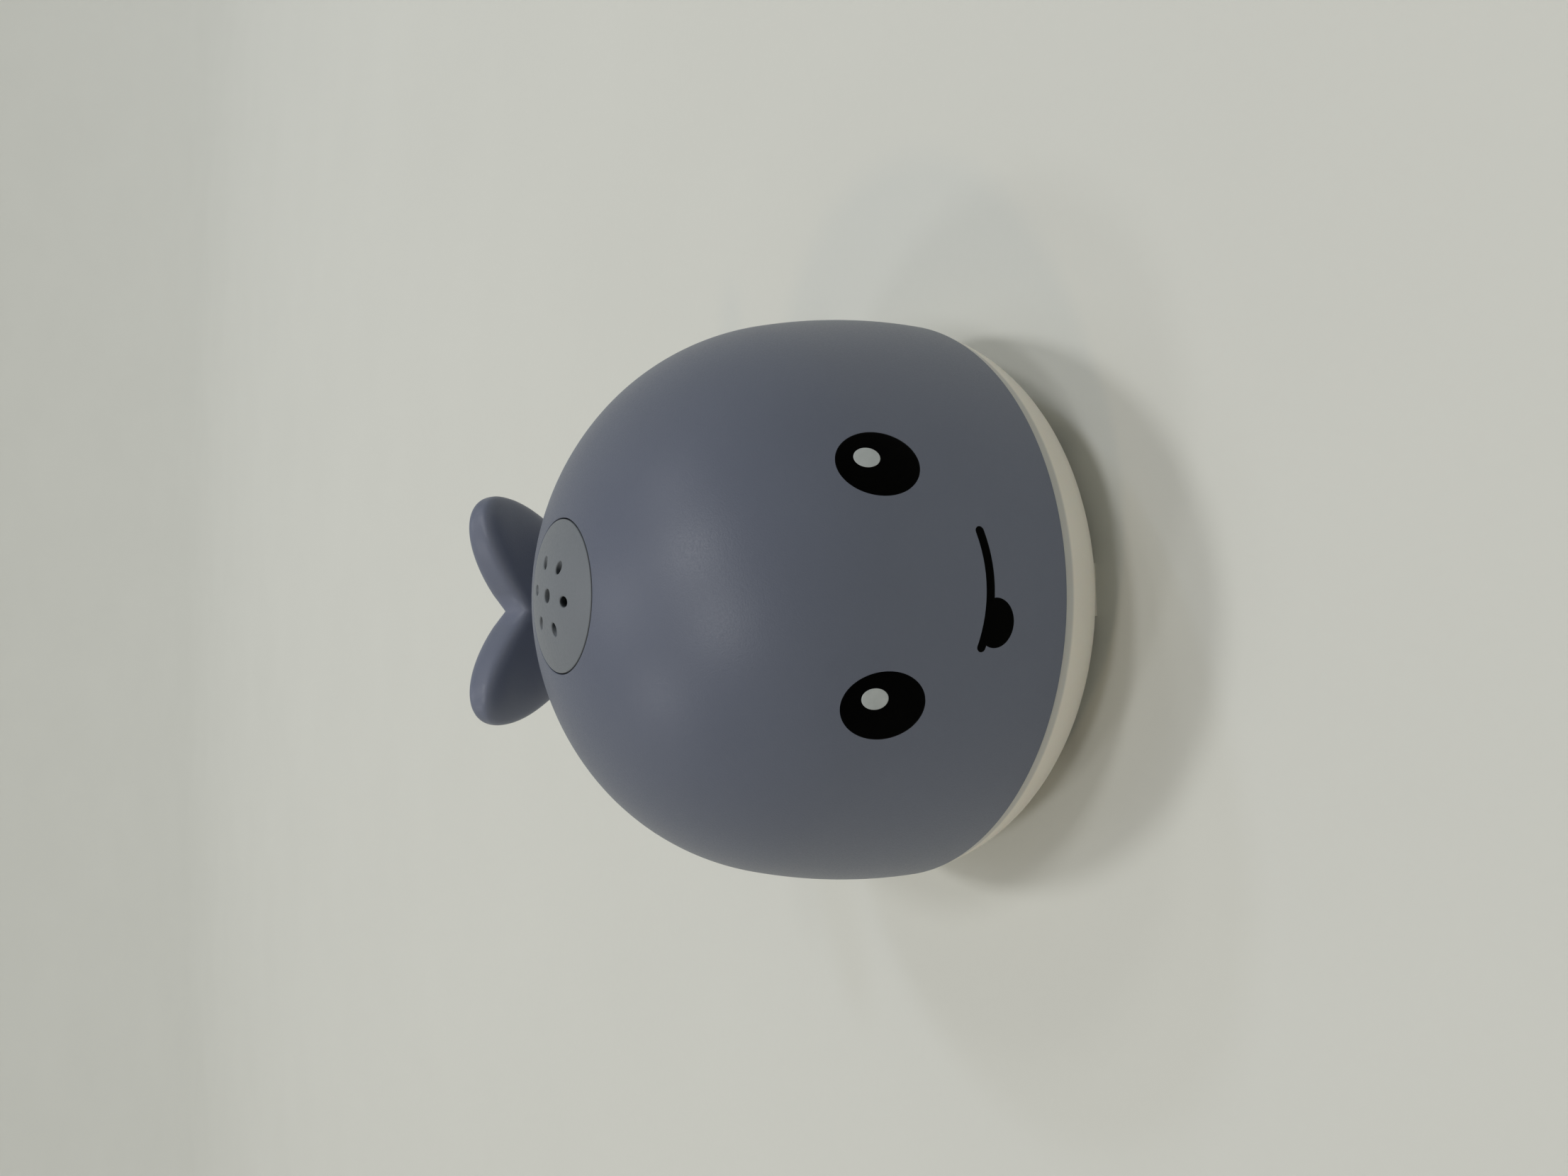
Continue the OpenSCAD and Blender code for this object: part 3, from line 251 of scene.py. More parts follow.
def eased(corners, radii, steps=6):
    """A closed outline with eased corners.

    Each corner becomes the quadratic curve that starts and ends its radius away.
    """
    corners = np.asarray(corners, float)
    radii = np.asarray(radii, float)[:, None]
    to_last = np.roll(corners, 1, 0) - corners
    to_next = np.roll(corners, -1, 0) - corners
    start = corners + radii * to_last / np.linalg.norm(to_last, axis=1, keepdims=True)
    end = corners + radii * to_next / np.linalg.norm(to_next, axis=1, keepdims=True)
    t = np.linspace(0, 1, steps)[None, :, None]
    curve = (1 - t) ** 2 * start[:, None] + 2 * t * (1 - t) * corners[:, None] + t**2 * end[:, None]
    outline = curve.reshape(-1, 2)
    kept = np.linalg.norm(outline - np.roll(outline, 1, 0), axis=1) > OUTLINE_GAP
    return outline[kept]


def turned(radius, height, angle):
    """Points at a radius, height and angle about the body's axis; 0 is the front, +X comes next."""
    radius, height, angle = np.broadcast_arrays(radius, height, angle)
    return np.stack([radius * np.sin(angle), AXIS_Y - radius * np.cos(angle), height], -1)


def dome_line(turn, lift=0.0):
    """Radius and height on the dome where its surface has turned by an angle from the axis.

    Each point is an arc's centre plus its radius along the angle: crown, then shoulder, then side.
    """
    turn = np.asarray(turn, float)[..., None]
    way = np.concatenate([np.sin(turn), np.cos(turn)], -1)
    crown = CROWN_C + (CROWN_R + lift) * way
    shoulder = SHOULDER_C + (SHOULDER_R + lift) * way
    side = SIDE_C + (SIDE_R + lift) * way
    return np.where(turn <= CROWN_TURN, crown, np.where(turn <= SHOULDER_TURN, shoulder, side))


def dome_radius(height, lift=0.0):
    """Radius of the dome at a height: on the arc that holds this height, set out by a lift."""
    height = np.maximum(np.asarray(height, float), EQUATOR_Z)
    crown_z = CROWN_C[1] + CROWN_R * math.cos(CROWN_TURN)
    shoulder_z = SHOULDER_C[1] + SHOULDER_R * math.cos(SHOULDER_TURN)
    in_crown, in_shoulder = height >= crown_z, height >= shoulder_z
    centre_r = np.where(in_crown, CROWN_C[0], np.where(in_shoulder, SHOULDER_C[0], SIDE_C[0]))
    centre_z = np.where(in_crown, CROWN_C[1], np.where(in_shoulder, SHOULDER_C[1], SIDE_C[1]))
    arc_r = np.where(in_crown, CROWN_R, np.where(in_shoulder, SHOULDER_R, SIDE_R))
    return centre_r + np.sqrt((arc_r + lift) ** 2 - (height - centre_z) ** 2)


def shell_outline(outer_rows=90, inner_rows=50):
    """Half section of the upper shell: lip, outer dome, lower edge, inner dome, collar and seat."""
    lip_turn = math.asin(OPEN_R / CROWN_R)
    collar_turn = math.asin(COLLAR_R / (CROWN_R - SHELL_WALL))
    outer = dome_line(np.linspace(lip_turn, math.pi / 2, outer_rows))
    inner = dome_line(np.linspace(math.pi / 2, collar_turn, inner_rows), -SHELL_WALL)
    edge = [[BODY_R, EDGE_Z], [BODY_R - SHELL_WALL, EDGE_Z]]
    seat = [
        [COLLAR_R, COLLAR_Z],
        [SEAT_R, COLLAR_Z],
        [SEAT_R, CAP_UNDER_Z],
        [OPEN_R, CAP_UNDER_Z],
    ]
    corners = np.concatenate([outer, edge, inner, seat])
    radii = np.zeros(len(corners))
    radii[0] = LIP_EASE
    radii[len(outer)] = EDGE_OUT_EASE
    radii[len(outer) + 1] = EDGE_IN_EASE
    radii[-len(seat) :] = SEAT_EASE
    return eased(corners, radii)


def revolved(outline, sides):
    """A closed outline of radius and height, carried round the body's axis."""
    angle = np.linspace(0, 2 * math.pi, sides, endpoint=False)
    points = turned(outline[:, :1], outline[:, 1:], angle[None])
    return points.reshape(-1, 3), grid_quads(len(outline), sides, True, True)


def lobe_shape(share):
    """Rise of a fluke at a share u of its half span: u sqrt(1 - u^p), and some u^2 for the tip."""
    return share * np.sqrt(1 - share**LOBE_POWER) + TIP_LIFT_SHARE * share**2


def tail_surface(rows=90, edge_rows=40, sides=160):
    """The tail: a level root whose stock bends up along a cubic curve and flares into two flukes.

    At a share s of the way and an angle a round the section, the width grows with the fourth power
    of sin(90 s), the section squares up towards a plate, each fluke rises above the notch as
    lobe_shape, and past the rounding share the thickness closes as a superellipse.
    """
    stock = np.linspace(0, ROUND_SHARE, rows)
    edge_turn = np.linspace(0, math.pi / 2, edge_rows + 1)[1:]
    s = np.concatenate([stock, ROUND_SHARE + (1 - ROUND_SHARE) * np.sin(edge_turn)])[:, None]
    over = np.maximum(0, (s - ROUND_SHARE) / (1 - ROUND_SHARE))
    close = np.maximum(0, 1 - over**EDGE_POWER) ** (1 / EDGE_POWER)
    a = np.linspace(0, 2 * math.pi, sides, endpoint=False)[None]
    late = s**2
    power = 2 / (2 + (PLATE_POWER - 2) * late)
    u = np.sign(np.cos(a)) * np.abs(np.cos(a)) ** power
    n = np.sign(np.sin(a)) * np.abs(np.sin(a)) ** power
    flare = np.sin(math.pi / 2 * s) ** FLARE_POWER
    half_w = TAIL_ROOT_R + (FLUKE_SPAN / 2 - TAIL_ROOT_R) * flare
    half_t = FLUKE_T / 2 + (TAIL_ROOT_R - FLUKE_T / 2) * (1 - s) ** 2
    lobe = lobe_shape(np.minimum(np.abs(u), 1)) / np.max(lobe_shape(np.linspace(0, 1, 51)))
    t = (NOTCH_SHARE * s + (1 - NOTCH_SHARE) * s**3 * lobe)[..., None]
    end_y = TAIL_EXIT_Y + TAIL_SWEEP
    path = np.array([
        [TAIL_EXIT_Y, TAIL_Z],
        [TAIL_EXIT_Y + TAIL_SWEEP * BEND_SWEEP_SHARE, TAIL_Z],
        [end_y, TAIL_Z + TAIL_RISE * BEND_RISE_SHARE],
        [end_y - TAIL_CURL, TAIL_Z + TAIL_RISE],
    ])
    legs = np.diff(path, axis=0)
    middle = (
        (1 - t) ** 3 * path[0]
        + 3 * (1 - t) ** 2 * t * path[1]
        + 3 * (1 - t) * t**2 * path[2]
        + t**3 * path[3]
    )
    way = (1 - t) ** 2 * legs[0] + 2 * (1 - t) * t * legs[1] + t**2 * legs[2]
    way = way / np.linalg.norm(way, axis=-1, keepdims=True)
    off = half_t * close * (1 - TIP_THIN_SHARE * late * u**2) * n
    fluke_y = middle[..., 0] - way[..., 1] * off
    fluke_z = middle[..., 1] + way[..., 0] * off
    flukes = np.stack([half_w * u, fluke_y, fluke_z], -1)
    root_r = ROOT_R_SHARES * TAIL_ROOT_R
    root_y = ROOT_DEPTHS + TAIL_SEAT_Y
    root = np.stack([root_r * np.cos(a), root_y + 0 * a, TAIL_Z + root_r * np.sin(a)], -1)
    points = np.concatenate([root, flukes]) + np.array([0, AXIS_Y, 0])
    return points.reshape(-1, 3), grid_quads(len(points), sides, ring_columns=True)


def on_face(side, up, turn, base_z, lift):
    """A drawing seen from the front, laid on the dome.

    At a height z and a distance x to the side its depth is sqrt(r(z)^2 - x^2), and then it is
    turned about the axis to its place.
    """
    height = base_z + up
    depth = np.sqrt(dome_radius(height, lift) ** 2 - side**2)
    x = side * math.cos(turn) + depth * math.sin(turn)
    y = side * math.sin(turn) - depth * math.cos(turn)
    return np.stack([x, AXIS_Y + y, height], -1)


def ink_lift(share, level):
    """Height of the ink over the dome: flat, and rounded down to its level at the edge."""
    return level * INK_T + INK_T * np.sqrt(np.maximum(0, 1 - share**INK_EDGE_POWER))


def oval_ink(
    width, height, lean, turn, base_z, side=0.0, up=0.0, level=0, rows=24, sides=96, ceiling=None
):
    """A printed oval: a polar grid from its middle to its edge, and back under the surface."""
    share = np.linspace(0, 1, rows)
    share = np.concatenate([share, share[::-1]])[:, None]
    over = np.arange(2 * rows)[:, None] < rows
    a = np.linspace(0, 2 * math.pi, sides, endpoint=False)[None]
    across, along = share * width / 2 * np.cos(a), share * height / 2 * np.sin(a)
    x = side + across * math.cos(lean) - along * math.sin(lean)
    z = up + across * math.sin(lean) + along * math.cos(lean)
    if ceiling is not None:
        z = np.minimum(z, ceiling(x))
    lift = np.where(over, ink_lift(share, level), INK_UNDER)
    points = on_face(x, z, turn, base_z, lift)
    return points.reshape(-1, 3), grid_quads(2 * rows, sides, ring_columns=True)


def smile_ink(columns=120, rows=12):
    """The mouth: an arc of the smile's radius, whose width closes as a half circle at each end."""
    half_turn = math.asin(MOUTH_W / 2 / MOUTH_R)
    cap_turn = MOUTH_LINE / 2 / MOUTH_R
    reach = np.sin(np.linspace(-math.pi / 2, math.pi / 2, columns))
    a = (reach * (half_turn + cap_turn))[:, None]
    past = np.maximum(0, np.abs(a) - half_turn) / cap_turn
    half_w = MOUTH_LINE / 2 * np.sqrt(np.maximum(0, 1 - past**2))
    share = np.concatenate([np.linspace(-1, 1, rows), np.linspace(1, -1, rows)])[None]
    over = np.arange(2 * rows)[None] < rows
    r = MOUTH_R + half_w * share
    lift = np.where(over, ink_lift(np.abs(share), 0), INK_UNDER)
    x, z = r * np.sin(a), MOUTH_R - r * np.cos(a)
    points = on_face(MOUTH_SIDE + x, z, 0, MOUTH_Z, lift)
    return points.reshape(-1, 3), grid_quads(columns, 2 * rows, ring_columns=True)


def smile_height(x):
    """Height of the middle of the mouth line at a distance to the side."""
    return MOUTH_R - np.sqrt(MOUTH_R**2 - (x - MOUTH_SIDE) ** 2)


def sector_ring():
    """Edge of one sector in order: outer arc, side, inner arc, side.

    The points are shares from -1 to 1, outwards and across.
    """
    step = np.linspace(-1, 1, CAP_CELLS, endpoint=False)
    one = np.ones(CAP_CELLS)
    out = np.concatenate([one, -step, -one, step])
    across = np.concatenate([step, one, -step, -one])
    return out, across


def holed_plate(hole_r, reach, in_r, out_r, height, ease, blend_rows=10, ring_rows=5):
    """A disc with a ring of oval holes and a middle hole, laid at a height that follows the radius.

    Each sector blends from its hole's oval to the sector's edge. The first rows ease over the
    hole's edge, down where ease is positive and up where it is negative. It gives the grids, and
    the edge of each hole.
    """
    half = math.pi / SPRAY_COUNT
    out, across = sector_ring()
    spread = np.arctan2(across, out)[None]
    wide = QUARTER_ROUND * abs(ease)
    drop = QUARTER_ROUND[::-1] * ease
    grow = 1 + wide / SPRAY_R
    local_x = hole_r + grow * reach * np.cos(spread)
    local_y = grow * SPRAY_R * np.sin(spread)
    hole = np.stack([np.hypot(local_x, local_y), np.arctan2(local_y, local_x)], -1)
    edge_r = (in_r + out_r) / 2 + out * (out_r - in_r) / 2
    edge = np.stack([edge_r, across * half], -1)[None]
    blend = (np.linspace(0, 1, blend_rows)[1:] ** SECTOR_POWER)[:, None, None]
    sector = np.concatenate([hole, hole[-1:] + (edge - hole[-1:]) * blend])
    sector_drop = np.concatenate([drop, np.zeros((len(blend), 1))])
    radius, angle = sector[None, ..., 0], sector[None, ..., 1]
    place = 2 * math.pi / SPRAY_COUNT * np.arange(SPRAY_COUNT)[:, None, None]
    sectors = turned(radius, height(radius) - sector_drop, CAP_TURN + angle + place)
    quads = grid_quads(*sector.shape[:2], ring_columns=True)
    grids = [(points.reshape(-1, 3), quads) for points in sectors]
    ring = np.linspace(JET_R + abs(ease), in_r, ring_rows)[1:, None]
    ring_drop = np.concatenate([drop, np.zeros((len(ring), 1))])
    ring = np.concatenate([JET_R + wide, ring])
    middle = turned(ring, height(ring) - ring_drop, CAP_ANGLES)
    grids.append((middle.reshape(-1, 3), grid_quads(*middle.shape[:2], ring_columns=True)))
    return grids, [*sectors[:, 0], middle[0]]


def cap_height(radius):
    """Height of the cap's round top at a radius."""
    return CAP_DOME_Z + np.sqrt(CAP_DOME_R**2 - radius**2)


def ceiling_height(radius):
    """Height of the flat ceiling of the cap's water chamber."""
    return CEILING_Z + 0 * radius


def cap_grids(wall_rows=6, top_rows=9):
    """The spray cap: a holed crown and ceiling, hole walls ruled between them, and a turned rim."""
    slope = math.asin(SPRAY_RING_R / CAP_DOME_R)
    depth = cap_height(SPRAY_RING_R) - CEILING_Z
    crown, mouths = holed_plate(
        SPRAY_RING_R,
        SPRAY_R / math.cos(SPRAY_LEAN - slope),
        CROWN_IN_R,
        CROWN_OUT_R,
        cap_height,
        MOUTH_EASE,
    )
    ceiling, ends = holed_plate(
        SPRAY_RING_R - depth * math.tan(SPRAY_LEAN),
        SPRAY_R / math.cos(SPRAY_LEAN),
        CEILING_IN_R,
        CEILING_OUT_R,
        ceiling_height,
        -CEILING_EASE,
    )
    t = np.linspace(0, 1, wall_rows)[:, None, None]
    top_r = np.linspace(CROWN_OUT_R, CAP_R, top_rows)
    top = np.stack([top_r, cap_height(top_r)], -1)
    groove_z = (CAP_UNDER_Z + SKIRT_Z) / 2
    rim = np.array([
        [CAP_R, CAP_UNDER_Z],
        [SKIRT_R, CAP_UNDER_Z],
        [SKIRT_R, groove_z + GROOVE_H / 2],
        [GROOVE_R, groove_z + GROOVE_H / 2],
        [GROOVE_R, groove_z - GROOVE_H / 2],
        [SKIRT_R, groove_z - GROOVE_H / 2],
        [SKIRT_R, SKIRT_Z],
        [SKIRT_IN_R, SKIRT_Z],
        [SKIRT_IN_R, CEILING_Z],
        [CEILING_OUT_R, CEILING_Z],
    ])
    radii = np.full(len(top) + len(rim), SKIRT_EASE)
    radii[: len(top) - 1] = 0
    radii[len(top) - 1] = CAP_RIM_EASE
    radii[-1] = 0
    outline = eased(np.concatenate([top, rim]), radii)
    round_grids = [mouth + (end - mouth) * t for mouth, end in zip(mouths, ends)]
    round_grids.append(turned(outline[:, :1], outline[:, 1:], CAP_ANGLES))
    return crown + ceiling + [
        (points.reshape(-1, 3), grid_quads(*points.shape[:2], ring_columns=True))
        for points in round_grids
    ]


def cad_triangles(node):
    """A CAD node's points and triangles, to be merged into a piece that shades smoothly."""
    mesh = frame["nodes"][node].data
    points = np.empty(3 * len(mesh.vertices), np.float32)
    mesh.vertices.foreach_get("co", points)
    corners = np.empty(len(mesh.loops), np.int32)
    mesh.loops.foreach_get("vertex_index", corners)
    return points.reshape(-1, 3).astype(float), corners.reshape(-1, 3)


def floor_sweep(bend_rows=24):
    """A round floor, open between the toy's feet: flat, a quarter circle up, an upright wall."""
    bend = np.linspace(0, math.pi / 2, bend_rows)
    bend_r = FLOOR_BEND_START + FLOOR_BEND_R * np.sin(bend)
    bend_z = FLOOR_BEND_R - FLOOR_BEND_R * np.cos(bend)
    radius = np.concatenate([FLOOR_FLAT_RADII, bend_r, bend_r[-1:]])
    height = np.concatenate([np.zeros(len(FLOOR_FLAT_RADII)), bend_z, [FLOOR_WALL_TOP]])
    angle = np.linspace(0, 2 * math.pi, FLOOR_SIDES, endpoint=False)[None]
    points = turned(radius[:, None], height[:, None], angle)
    quads = grid_quads(len(radius), FLOOR_SIDES, ring_columns=True)
    return points.reshape(-1, 3), quads[:, ::-1]


def linear(hex_colour):
    """An sRGB hex colour as linear red, green, blue and alpha."""
    value = np.array([int(hex_colour[k : k + 2], 16) for k in (1, 3, 5)]) / 255
    value = np.where(value <= 0.04045, value / 12.92, ((value + 0.055) / 1.055) ** 2.4)
    return (*value.tolist(), 1.0)


def add(tree, kind, inputs, **settings):
    """Adds a node with its settings; each input takes a value, or a link from a node's output."""
    node = tree.nodes.new(kind)
    for name, value in settings.items():
        setattr(node, name, value)
    for name, value in inputs.items():
        if isinstance(value, bpy.types.NodeSocket):
            tree.links.new(value, node.inputs[name])
        else:
            node.inputs[name].default_value = value
    return node


def finish(name, tones, patch_mm, gloss, grain_mm, depth_mm, **sockets):
    """A surface of two close tones in soft patches, with a grain in its bump and its gloss.

    patch_mm and grain_mm are the real sizes of the patches and the grain, depth_mm is how deep the
    grain is, gloss is the lowest and highest roughness, and sockets are constants of the shader.
    A colour Mix node has its factor at input 0, its colours at 6 and 7, and its result at output 2.
    """
    material = bpy.data.materials.new(name)
    material.use_nodes = True
    tree = material.node_tree
    tree.nodes.clear()
    place = add(tree, "ShaderNodeTexCoord", {}).outputs["Object"]
    patch, grain = [
        add(tree, "ShaderNodeTexNoise", {"Vector": place, "Scale": 1 / (mm * MM), "Detail": detail})
        for mm, detail in ((patch_mm, PATCH_DETAIL), (grain_mm, GRAIN_DETAIL))
    ]
    tone = add(
        tree,
        "ShaderNodeMix",
        {0: patch.outputs["Fac"], 6: linear(tones[0]), 7: linear(tones[1])},
        data_type="RGBA",
    )
    rough = add(
        tree,
        "ShaderNodeMapRange",
        {
            "Value": grain.outputs["Fac"],
            "From Min": GRAIN_SPAN[0],
            "From Max": GRAIN_SPAN[1],
            "To Min": gloss[0],
            "To Max": gloss[1],
        },
    )
    bump = add(
        tree,
        "ShaderNodeBump",
        {"Height": grain.outputs["Fac"], "Distance": depth_mm * MM, "Strength": 1.0},
    )
    shader = add(
        tree,
        "ShaderNodeBsdfPrincipled",
        {
            "Base Color": tone.outputs[2],
            "Roughness": rough.outputs["Result"],
            "Normal": bump.outputs["Normal"],
            **{key.replace("_", " "): value for key, value in sockets.items()},
        },
    )
    add(tree, "ShaderNodeOutputMaterial", {"Surface": shader.outputs["BSDF"]})
    return material


def painted_rim_shade(material):
    """Paints shade on a finish: fades it by height to a darker, cooler tone in the strip just under
    the shell's edge.
    """
    tree = material.node_tree
    place = tree.nodes["Texture Coordinate"].outputs["Object"]
    rim = add(
        tree,
        "ShaderNodeMapRange",
        {
            "Value": add(tree, "ShaderNodeSeparateXYZ", {"Vector": place}).outputs["Z"],
            "From Min": EDGE_Z - BASE_RIM_SHADE_FADE[1],
            "From Max": EDGE_Z - BASE_RIM_SHADE_FADE[0],
        },
        interpolation_type="SMOOTHSTEP",
    )
    tone = add(
        tree,
        "ShaderNodeMix",
        {0: rim.outputs["Result"], 6: tree.nodes["Mix"].outputs[2], 7: linear(BASE_RIM_SHADE_TONE)},
        data_type="RGBA",
    )
    tree.links.new(tone.outputs[2], tree.nodes["Principled BSDF"].inputs["Base Color"])


def one_sided(material):
    """Makes the backs of the faces clear, so that a view from below looks through the floor."""
    tree = material.node_tree
    sides = add(
        tree,
        "ShaderNodeMixShader",
        {
            0: add(tree, "ShaderNodeNewGeometry", {}).outputs["Backfacing"],
            1: tree.nodes["Principled BSDF"].outputs["BSDF"],
            2: add(tree, "ShaderNodeBsdfTransparent", {}).outputs["BSDF"],
        },
    )
    tree.links.new(sides.outputs["Shader"], tree.nodes["Material Output"].inputs["Surface"])


# ABS moulded in a spark-eroded tool, pigmented blue-grey: a soft satin sheen with a fine sparkle of
# grain. The real grain is about 0.1 mm, drawn coarser so that it shows.
shell_abs = finish(
    "ABS moulded satin blue-grey", ("#555b6b", "#5c6272"), 24, (0.37, 0.47), 0.26, 0.024, IOR=1.54
)
# The same ABS for the tail, moulded apart, in a lighter tone: painted light that brightens the
# flukes.
tail_abs_painted_light = finish(
    "ABS moulded satin blue-grey with painted light", ("#5f6577", "#666c7e"), 24, (0.37, 0.47), 0.26, 0.024,
    IOR=1.54,
)
# The same ABS from another tool and batch: slightly lighter and greener, a little more matt.
cap_abs = finish(
    "ABS moulded satin grey", ("#676c72", "#6d7278"), 15, (0.46, 0.56), 0.45, 0.02, IOR=1.54
)
# ABS moulded warm white: light goes a little way in, so edges stay soft. Just under the shell's
# edge the rim gets a darker, cooler painted shade, standing in for the shade of the shell's
# overhang.
base_abs = finish(
    "ABS moulded warm white", ("#d9d3c8", "#dfdacf"), 20, (0.34, 0.44), 0.6, 0.004,
    IOR=1.54, Subsurface_Weight=0.12, Subsurface_Scale=0.0012,
)
# Painted shade along the base's rim, under the shell's edge
painted_rim_shade(base_abs)
# Pad-print ink, dried black: deep and nearly without sheen, with the shell's grain just showing.
black_ink = finish(
    "pad-print ink black", ("#000000", "#020202"), 6, (0.42, 0.52), 0.45, 0.006,
    IOR=1.5, Specular_IOR_Level=0.02,
)
# Pad-print ink, white over black: thin, so it is uneven and slightly grey.
white_ink = finish(
    "pad-print ink white", ("#a0a6a8", "#b5babb"), 1.4, (0.38, 0.48), 0.45, 0.006, IOR=1.5
)
# Silicone rubber, moulded: matt, slightly cloudy grey.
seal_silicone = finish(
    "silicone rubber moulded grey", ("#b2b6b9", "#bec2c4"), 8, (0.55, 0.68), 0.5, 0.004,
    IOR=1.41, Subsurface_Weight=0.15, Subsurface_Scale=0.001,
)
# Soft PVC, drawn as a tube: cloudy and half clear.
hose_pvc = finish(
    "PVC drawn tube cloudy", ("#d6dedb", "#e4eae8"), 12, (0.22, 0.32), 0.8, 0.003,
    IOR=1.53, Transmission_Weight=0.35, Subsurface_Weight=0.2, Subsurface_Scale=0.002,
)
# Polypropylene moulded white: the unseen inner parts, plain and a little waxy.
inner_pp = finish(
    "polypropylene moulded white", ("#d2d2cc", "#dcdcd7"), 14, (0.38, 0.48), 0.7, 0.004,
    IOR=1.49, Subsurface_Weight=0.15, Subsurface_Scale=0.0015,
)
# Nylon moulded black: matt end caps and the chip's case.
dark_nylon = finish(
    "nylon moulded black", ("#121213", "#1b1b1d"), 6, (0.45, 0.58), 0.3, 0.005, IOR=1.53
)
# Steel, zinc plated: bright grey with faint cloudy patches from the bath.
screw_steel = finish(
    "steel zinc plated", ("#a9acb0", "#c2c4c7"), 2.5, (0.24, 0.36), 0.25, 0.003, Metallic=1.0
)
# Ferrite, sintered: dark grey and dull, with a rough grain.
ferrite = finish(
    "ferrite sintered", ("#303033", "#434347"), 2, (0.60, 0.75), 0.3, 0.010, Metallic=0.3
)
# Brass, stamped from rolled strip: warm, with a fine grain from the rolls.
contact_brass = finish(
    "brass stamped strip", ("#b8934c", "#cdae6c"), 3, (0.25, 0.38), 0.3, 0.003, Metallic=1.0
)
# A printed foil sleeve on a cell: smooth blue film.
cell_film = finish(
    "printed film sleeve blue", ("#27648f", "#3577a6"), 9, (0.22, 0.30), 1.0, 0.002,
    IOR=1.5, Coat_Weight=0.4,
)
# Glass-epoxy board under green solder mask: glossy over a faint, uneven ground.
board_laminate = finish(
    "glass epoxy solder mask green", ("#28603d", "#347349"), 1.5, (0.28, 0.38), 0.6, 0.006, IOR=1.55
)
# Clear epoxy, cast: the lamps' lenses.
lamp_epoxy = finish(
    "epoxy cast clear", ("#e3e9eb", "#f0f3f4"), 4, (0.08, 0.14), 0.8, 0.001,
    IOR=1.55, Transmission_Weight=0.7,
)
# PVC extruded over wire: plain red lead sleeves.
lead_pvc = finish(
    "PVC extruded sleeve red", ("#a51c25", "#b9262f"), 5, (0.40, 0.50), 0.5, 0.003, IOR=1.53
)
# Emulsion paint on board: pale and matt, for the floor.
floor_paint = finish("board painted matt", ("#c9cac4", "#cdcec8"), 90, (0.7, 0.8), 1.5, 0.004)
one_sided(floor_paint)

SLOT_FINISH = {
    "shell_plastic": shell_abs,
    "cap_plastic": cap_abs,
    "base_plastic": base_abs,
    "black_ink": black_ink,
    "white_ink": white_ink,
    "seal_rubber": seal_silicone,
    "hose_rubber": hose_pvc,
    "inner_plastic": inner_pp,
    "dark_plastic": dark_nylon,
    "screw_steel": screw_steel,
    "magnet_ferrite": ferrite,
    "contact_brass": contact_brass,
    "cell_sleeve": cell_film,
    "board_laminate": board_laminate,
    "lamp_resin": lamp_epoxy,
    "lead_sleeve": lead_pvc,
}
for row in frame["record"]["subparts"]:
    cad = frame["nodes"][row["node"]]
    for material_slot in cad.material_slots:
        material_slot.material = SLOT_FINISH[row["material_slot"]]

# Upper shell, tail and spray cap
dome = revolved(shell_outline(), SHELL_SIDES)
shell = new_piece("dome_shell", [dome], shell_abs, "body", ["upper_shell"])
flat_faces_first(shell)
# The tail wears the lighter tone: painted light on the flukes
new_piece("whale_tail", [tail_surface()], tail_abs_painted_light, "body", ["tail"])
cap = new_piece("spray_plate", cap_grids(), cap_abs, "cap", ["spray_cap"])
flat_faces_first(cap)

# Printed face
for name, side in (("left", -1), ("right", 1)):
    eye = oval_ink(EYE_W, EYE_H, -side * EYE_LEAN, side * EYE_TURN, EYE_Z)
    new_piece("eye_ink_" + name, [eye], black_ink, "body", ["eye_print_" + name])
glints = [
    oval_ink(
        GLINT_W, GLINT_H, -side * EYE_LEAN / 2, side * EYE_TURN, EYE_Z,
        GLINT_SIDE, GLINT_UP, level=1,
    )
    for side in (-1, 1)
]
new_piece("eye_glint_ink", glints, white_ink, "body", ["eye_glints"])
new_piece("smile_ink", [smile_ink()], black_ink, "body", ["mouth_print"])
tongue = oval_ink(
    LICK_W, LICK_H, 0, 0, MOUTH_Z, MOUTH_SIDE - LICK_SIDE, -LICK_DROP, ceiling=smile_height
)
new_piece("tongue_ink", [tongue], black_ink, "body")

# Base and battery door: the CAD solids, merged so that their round faces shade smoothly
for node, name, body in (
    ("base_shell", "base_bowl", "body"),
    ("battery_door", "battery_lid", "door"),
):
    piece = new_piece(name, [cad_triangles(node)], base_abs, body, [node])
    piece.data.set_sharp_from_angle(angle=SHARP_TURN)
    flat_faces_first(piece)

# Floor
floor_mesh = bpy.data.meshes.new("floor")
floor_points, floor_quads = floor_sweep()
floor_mesh.from_pydata(floor_points.tolist(), [], floor_quads.tolist())
floor_mesh.shade_smooth()
floor_mesh.materials.append(floor_paint)
floor = bpy.data.objects.new("floor", floor_mesh)
bpy.context.scene.collection.objects.link(floor)

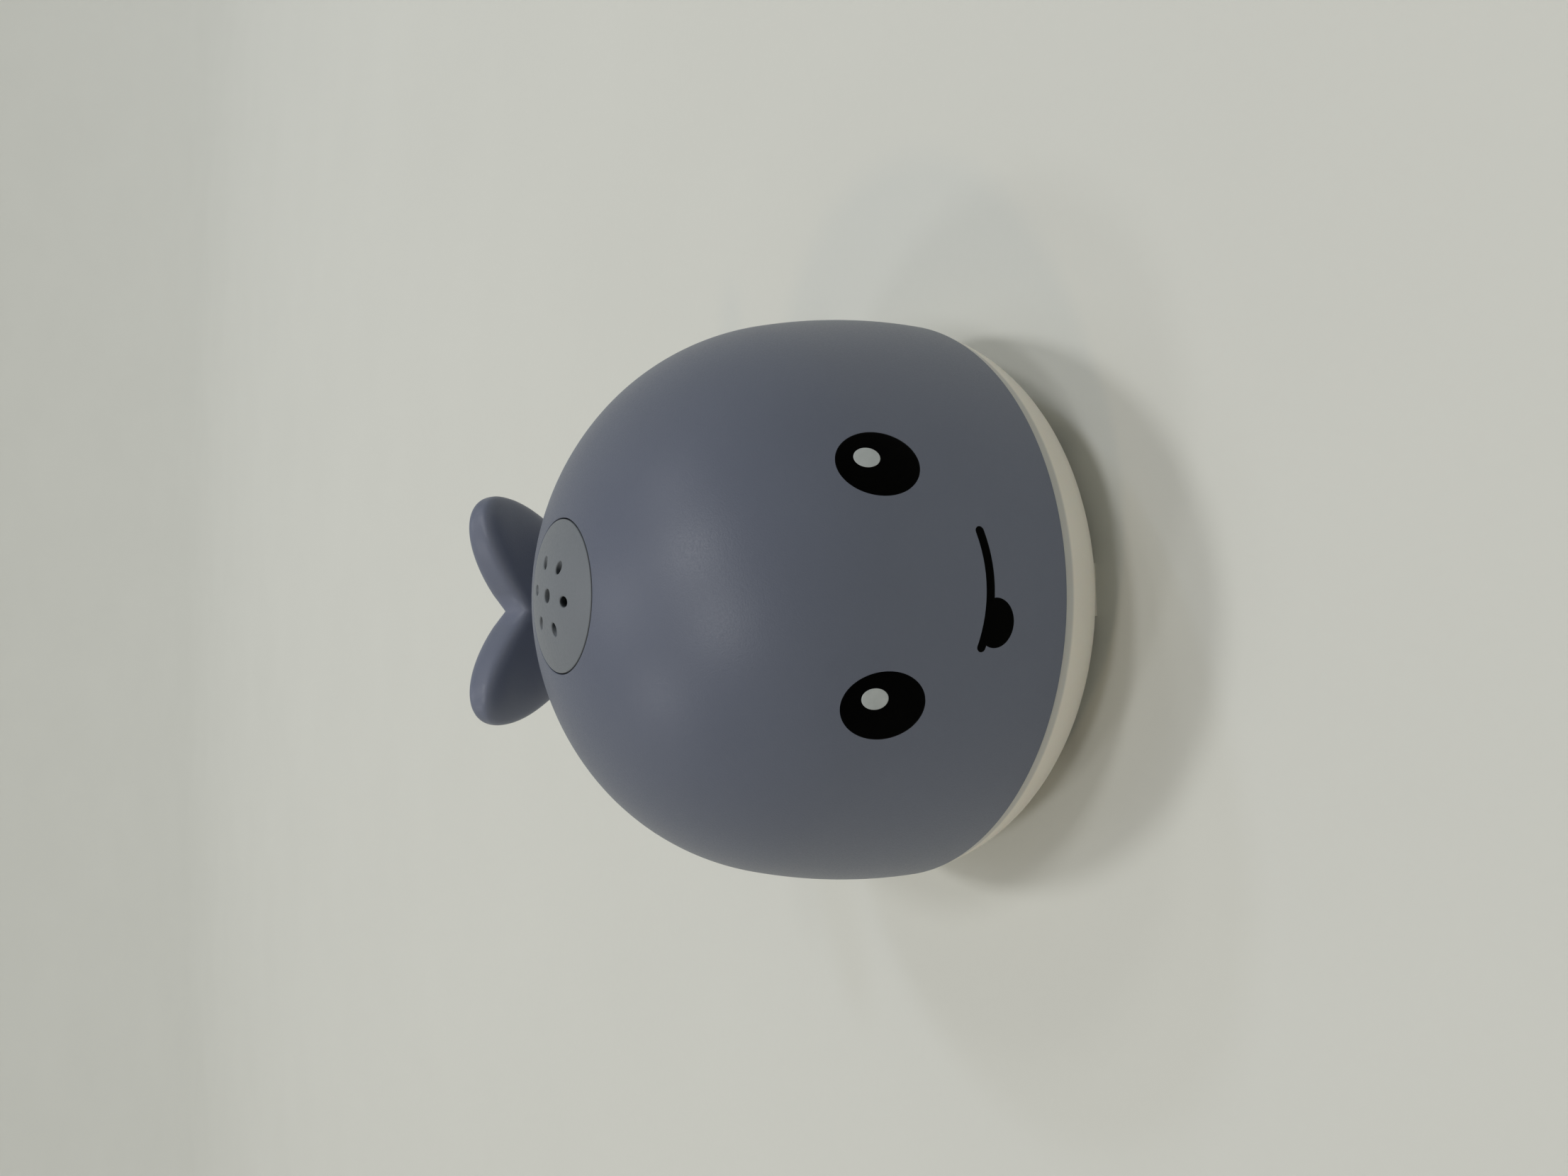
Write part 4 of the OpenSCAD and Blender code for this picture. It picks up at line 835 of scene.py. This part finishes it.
# Soft studio light. Each lamp has its name, place, width in metres, power in watts, colour, and
# whether glossy surfaces mirror it; all of them point at the toy.
LAMPS = (
    ("lamp over the middle", (0.63, -0.37, 2.40), 0.40, 8.0, "#ffffff", True),
    ("lamp over the front", (-0.44, -0.89, 2.40), 0.40, 7.5, "#ffffff", True),
    ("lamp over the left", (-1.39, 0.60, 2.40), 0.40, 5.0, "#ffffff", True),
    ("lamp over the right", (1.69, 0.40, 2.40), 0.40, 3.5, "#ffffff", True),
    ("lamp over the back", (0.22, 0.82, 2.30), 0.28, 12.0, "#ffffff", False),
    ("lamp behind the back", (0.00, 0.95, 2.30), 0.80, 4.0, "#ffffff", True),
    ("lamp low at the right", (1.35, 0.65, 1.60), 0.20, 3.2, "#dfe9ff", False),
    ("lamp low at the left", (-1.35, -0.45, 1.65), 0.20, 3.0, "#ffdfb4", False),
)
for name, place, width, power, colour, mirrored in LAMPS:
    light = bpy.data.lights.new(name, "AREA")
    light.shape = "DISK"
    light.size = width
    light.energy = power
    light.color = linear(colour)[:3]
    lamp = bpy.data.objects.new(name, light)
    lamp.visible_glossy = mirrored
    lamp.location = place
    lamp.rotation_euler = (-Vector(place)).to_track_quat("-Z", "Y").to_euler()
    bpy.context.scene.collection.objects.link(lamp)

# An even pale light from all round
WORLD_TONE = "#f3f4f2"
WORLD_LEVEL = 0.22
world = bpy.data.worlds.new("studio")
bpy.context.scene.world = world
world.use_nodes = True
background = world.node_tree.nodes["Background"]
background.inputs["Color"].default_value = linear(WORLD_TONE)
background.inputs["Strength"].default_value = WORLD_LEVEL

# Camera: a phone held over the front, turned on its side. Its stand is measured from the dome's
# top, before the yaw.
PITCH, ROLL, YAW = math.radians(32.22), math.radians(0.96), math.radians(-3.6)
STAND = Vector((1.79 * MM, -169.34 * MM, 65.18 * MM))
SENSOR_MM = 36
LENS_MM = 27.03
NEAREST = 0.01
ahead = Vector((0, math.cos(PITCH), -math.sin(PITCH)))
level_up = Vector((0, math.sin(PITCH), math.cos(PITCH)))
level_right = Vector((1, 0, 0))
tilted_right = level_right * math.cos(ROLL) + level_up * math.sin(ROLL)
tilted_up = level_up * math.cos(ROLL) - level_right * math.sin(ROLL)
sideways = Matrix((-tilted_up, tilted_right, -ahead)).transposed()
yawed = Matrix.Rotation(YAW, 3, "Z")
camera_place = yawed @ STAND + Vector((0, AXIS_Y, TOP_Z))
camera_data = bpy.data.cameras.new("camera")
camera_data.sensor_width = SENSOR_MM
camera_data.lens = LENS_MM
camera_data.clip_start = NEAREST
camera = bpy.data.objects.new("camera", camera_data)
camera.matrix_world = Matrix.Translation(camera_place) @ (yawed @ sideways).to_4x4()
bpy.context.scene.collection.objects.link(camera)
bpy.context.scene.camera = camera

bpy.context.scene.view_settings.view_transform = "Standard"
